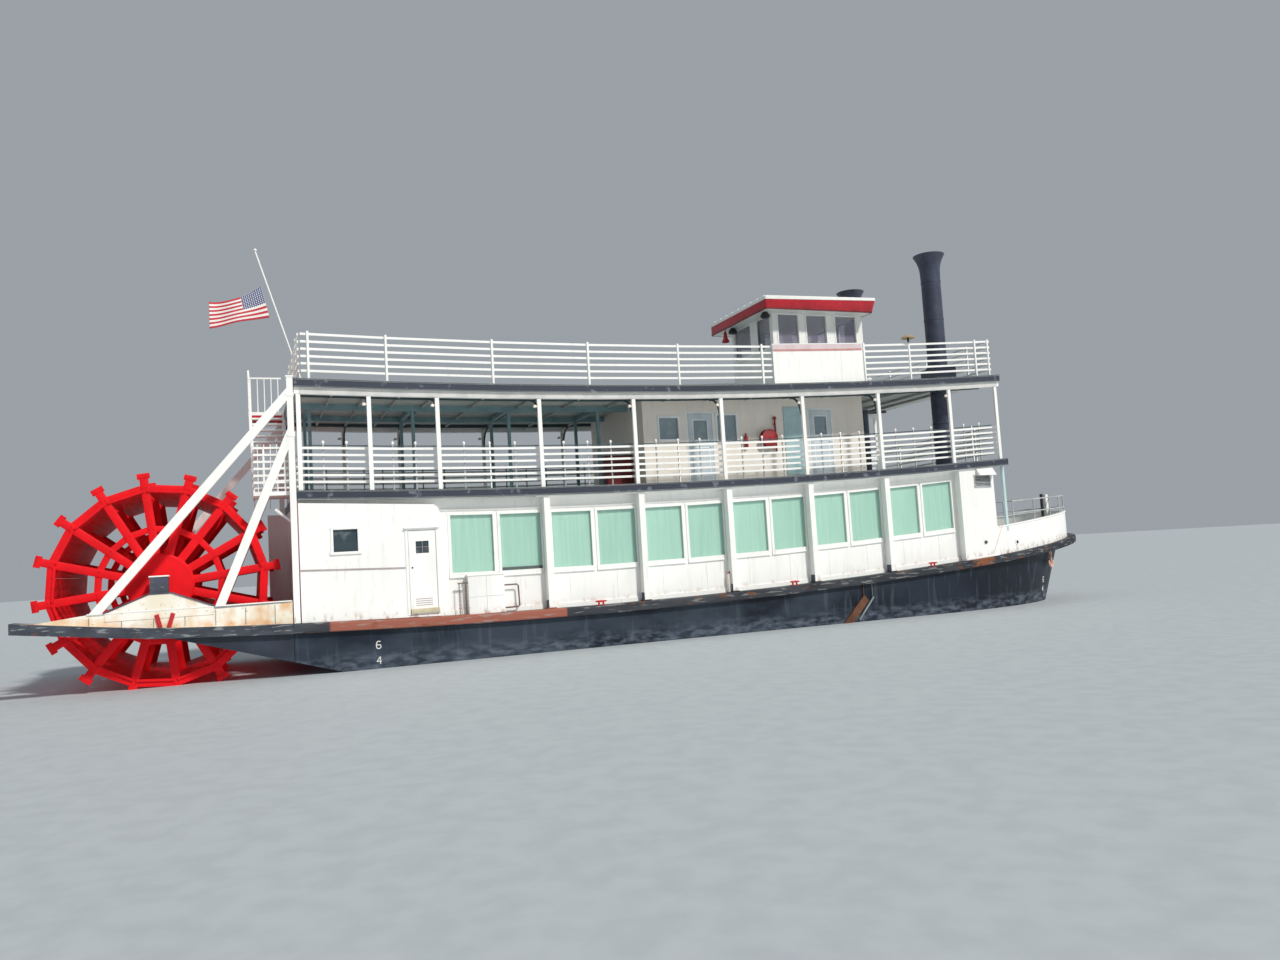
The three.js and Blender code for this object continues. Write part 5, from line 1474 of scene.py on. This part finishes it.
def flag_cloth():
    """Woven nylon: seven red and six white stripes along it, a dark blue canton with rows of pale dots."""
    material, tree, shader, place = begin("flag_woven_nylon", 0.7)
    uv = add(tree, "TexCoord").outputs["UV"]
    axes = add(tree, "SeparateXYZ", {0: uv})
    count = add(tree, "Math", {0: axes.outputs[1], 1: STRIPES / 2}, operation="MULTIPLY")
    part = add(tree, "Math", {0: count.outputs[0]}, operation="FRACT")
    white = add(tree, "Math", {0: part.outputs[0], 1: 0.5}, operation="GREATER_THAN")
    base = coat(tree, "C8303E", "F1EFEA", white.outputs[0])
    left = add(tree, "Math", {0: axes.outputs[0], 1: CANTON_LENGTH}, operation="LESS_THAN")
    upper = add(tree, "Math", {0: axes.outputs[1], 1: CANTON_FOOT}, operation="GREATER_THAN")
    canton = (left.outputs[0], upper.outputs[0])
    base = coat(tree, base, "3A4676", *canton)
    dots = add(tree, "Mapping", {"Vector": uv, "Scale": CANTON_CELLS})
    cells = add(tree, "TexVoronoi", {"Vector": dots.outputs[0], "Scale": 1.0, "Randomness": 0.0})
    dot = add(tree, "Math", {0: cells.outputs["Distance"], 1: 0.3}, operation="LESS_THAN")
    base = coat(tree, base, "E8E8EC", dot.outputs[0], *canton)
    return painted(material, tree, shader, place, base, 0.003, 0.0003)


def flag():
    """A sheet over length u and height v that droops towards its fly and waves by u times a sine along it."""
    across, up = 60, 30
    u, v = np.meshgrid(np.linspace(0, 1, across), np.linspace(0, 1, up), indexing="ij")
    hoist = HOIST_FOOT[0] + (HOIST_TOP[0] - HOIST_FOOT[0]) * v
    x = hoist + (FLY_TOP[0] - hoist) * u
    y = 0.06 * u * np.sin(3 * math.pi * u) + 0.012 * np.sin(9 * u + 5 * v) * u
    top, foot = flag_edges(u)
    points = np.stack([x, y, foot + (top - foot) * v], -1).reshape(-1, 3)
    a, b = np.meshgrid(np.arange(across - 1), np.arange(up - 1), indexing="ij")
    quads = np.stack([a * up + b, (a + 1) * up + b, (a + 1) * up + b + 1, a * up + b + 1], -1).reshape(-1, 4)
    mesh = bpy.data.meshes.new("flag_sheet")
    mesh.from_pydata(points.tolist(), [], quads.tolist())
    mesh.shade_smooth()
    layer = mesh.uv_layers.new(name="UVMap")
    corners = quads.ravel()
    layer.data.foreach_set("uv", np.stack([u.ravel()[corners], v.ravel()[corners]], -1).ravel())
    mesh.materials.append(flag_cloth())
    made = bpy.data.objects.new("flag_sheet", mesh)
    bpy.context.scene.collection.objects.link(made)
    skin = made.modifiers.new("cloth", "SOLIDIFY")
    skin.thickness = 0.002
    skin.offset = 0
    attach(made, "boat")
    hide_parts("flag")


def flagstaff():
    """A raked white pole with a ball, and the two ties that hold the flag's hoist to it."""
    foot, top = np.array([-9.58, 0, float(sun_top(-9.58))]), np.array([-10.79, 0, 11.9])
    pole = rod(foot, top, 0.022, 20)
    ball = lathe([(0.01, 0), (0.035, 0.02), (0.045, 0.045), (0.035, 0.07), (0.01, 0.09)], top, sides=20)
    made = piece("staff_pole", [pole, ball], RAIL_WHITE)
    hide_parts("flagstaff")
    ties = []
    for (x, z), drop in ((HOIST_TOP, 0.005), (HOIST_FOOT, -0.005)):
        share = (z - foot[2]) / (top[2] - foot[2])
        ties.append(rod((x - 0.012, 0, z - drop), foot + (top - foot) * share, 0.005, 8))
    piece("flag_ties", ties, ZINC)


set_camera()
set_light()
make_floor()
paint_frame()
hull_shell()
guard_and_deck()
wheel_parts()
both_sides(outrigger_fittings)
both_sides(saloon_windows)
both_sides(forward_block)
both_sides(engine_room_trim)
deck_edges()
both_sides(second_rail_posts)
both_sides(sun_rail_posts)
ceiling_beams()
both_sides(lamp_brackets)
deck_counter()
both_sides(upper_cabin_trim)
both_sides(hose_reel)
both_sides(stacks)
pilothouse_roof()
pilothouse_trim()
both_sides(mushroom_lamp)
bow_bulwark()
bow_rail_tubes()
both_sides(deck_fittings)
both_sides(hull_fittings)
bow_fittings()
stair_trim()
both_sides(draft_figures)
flag()
flagstaff()
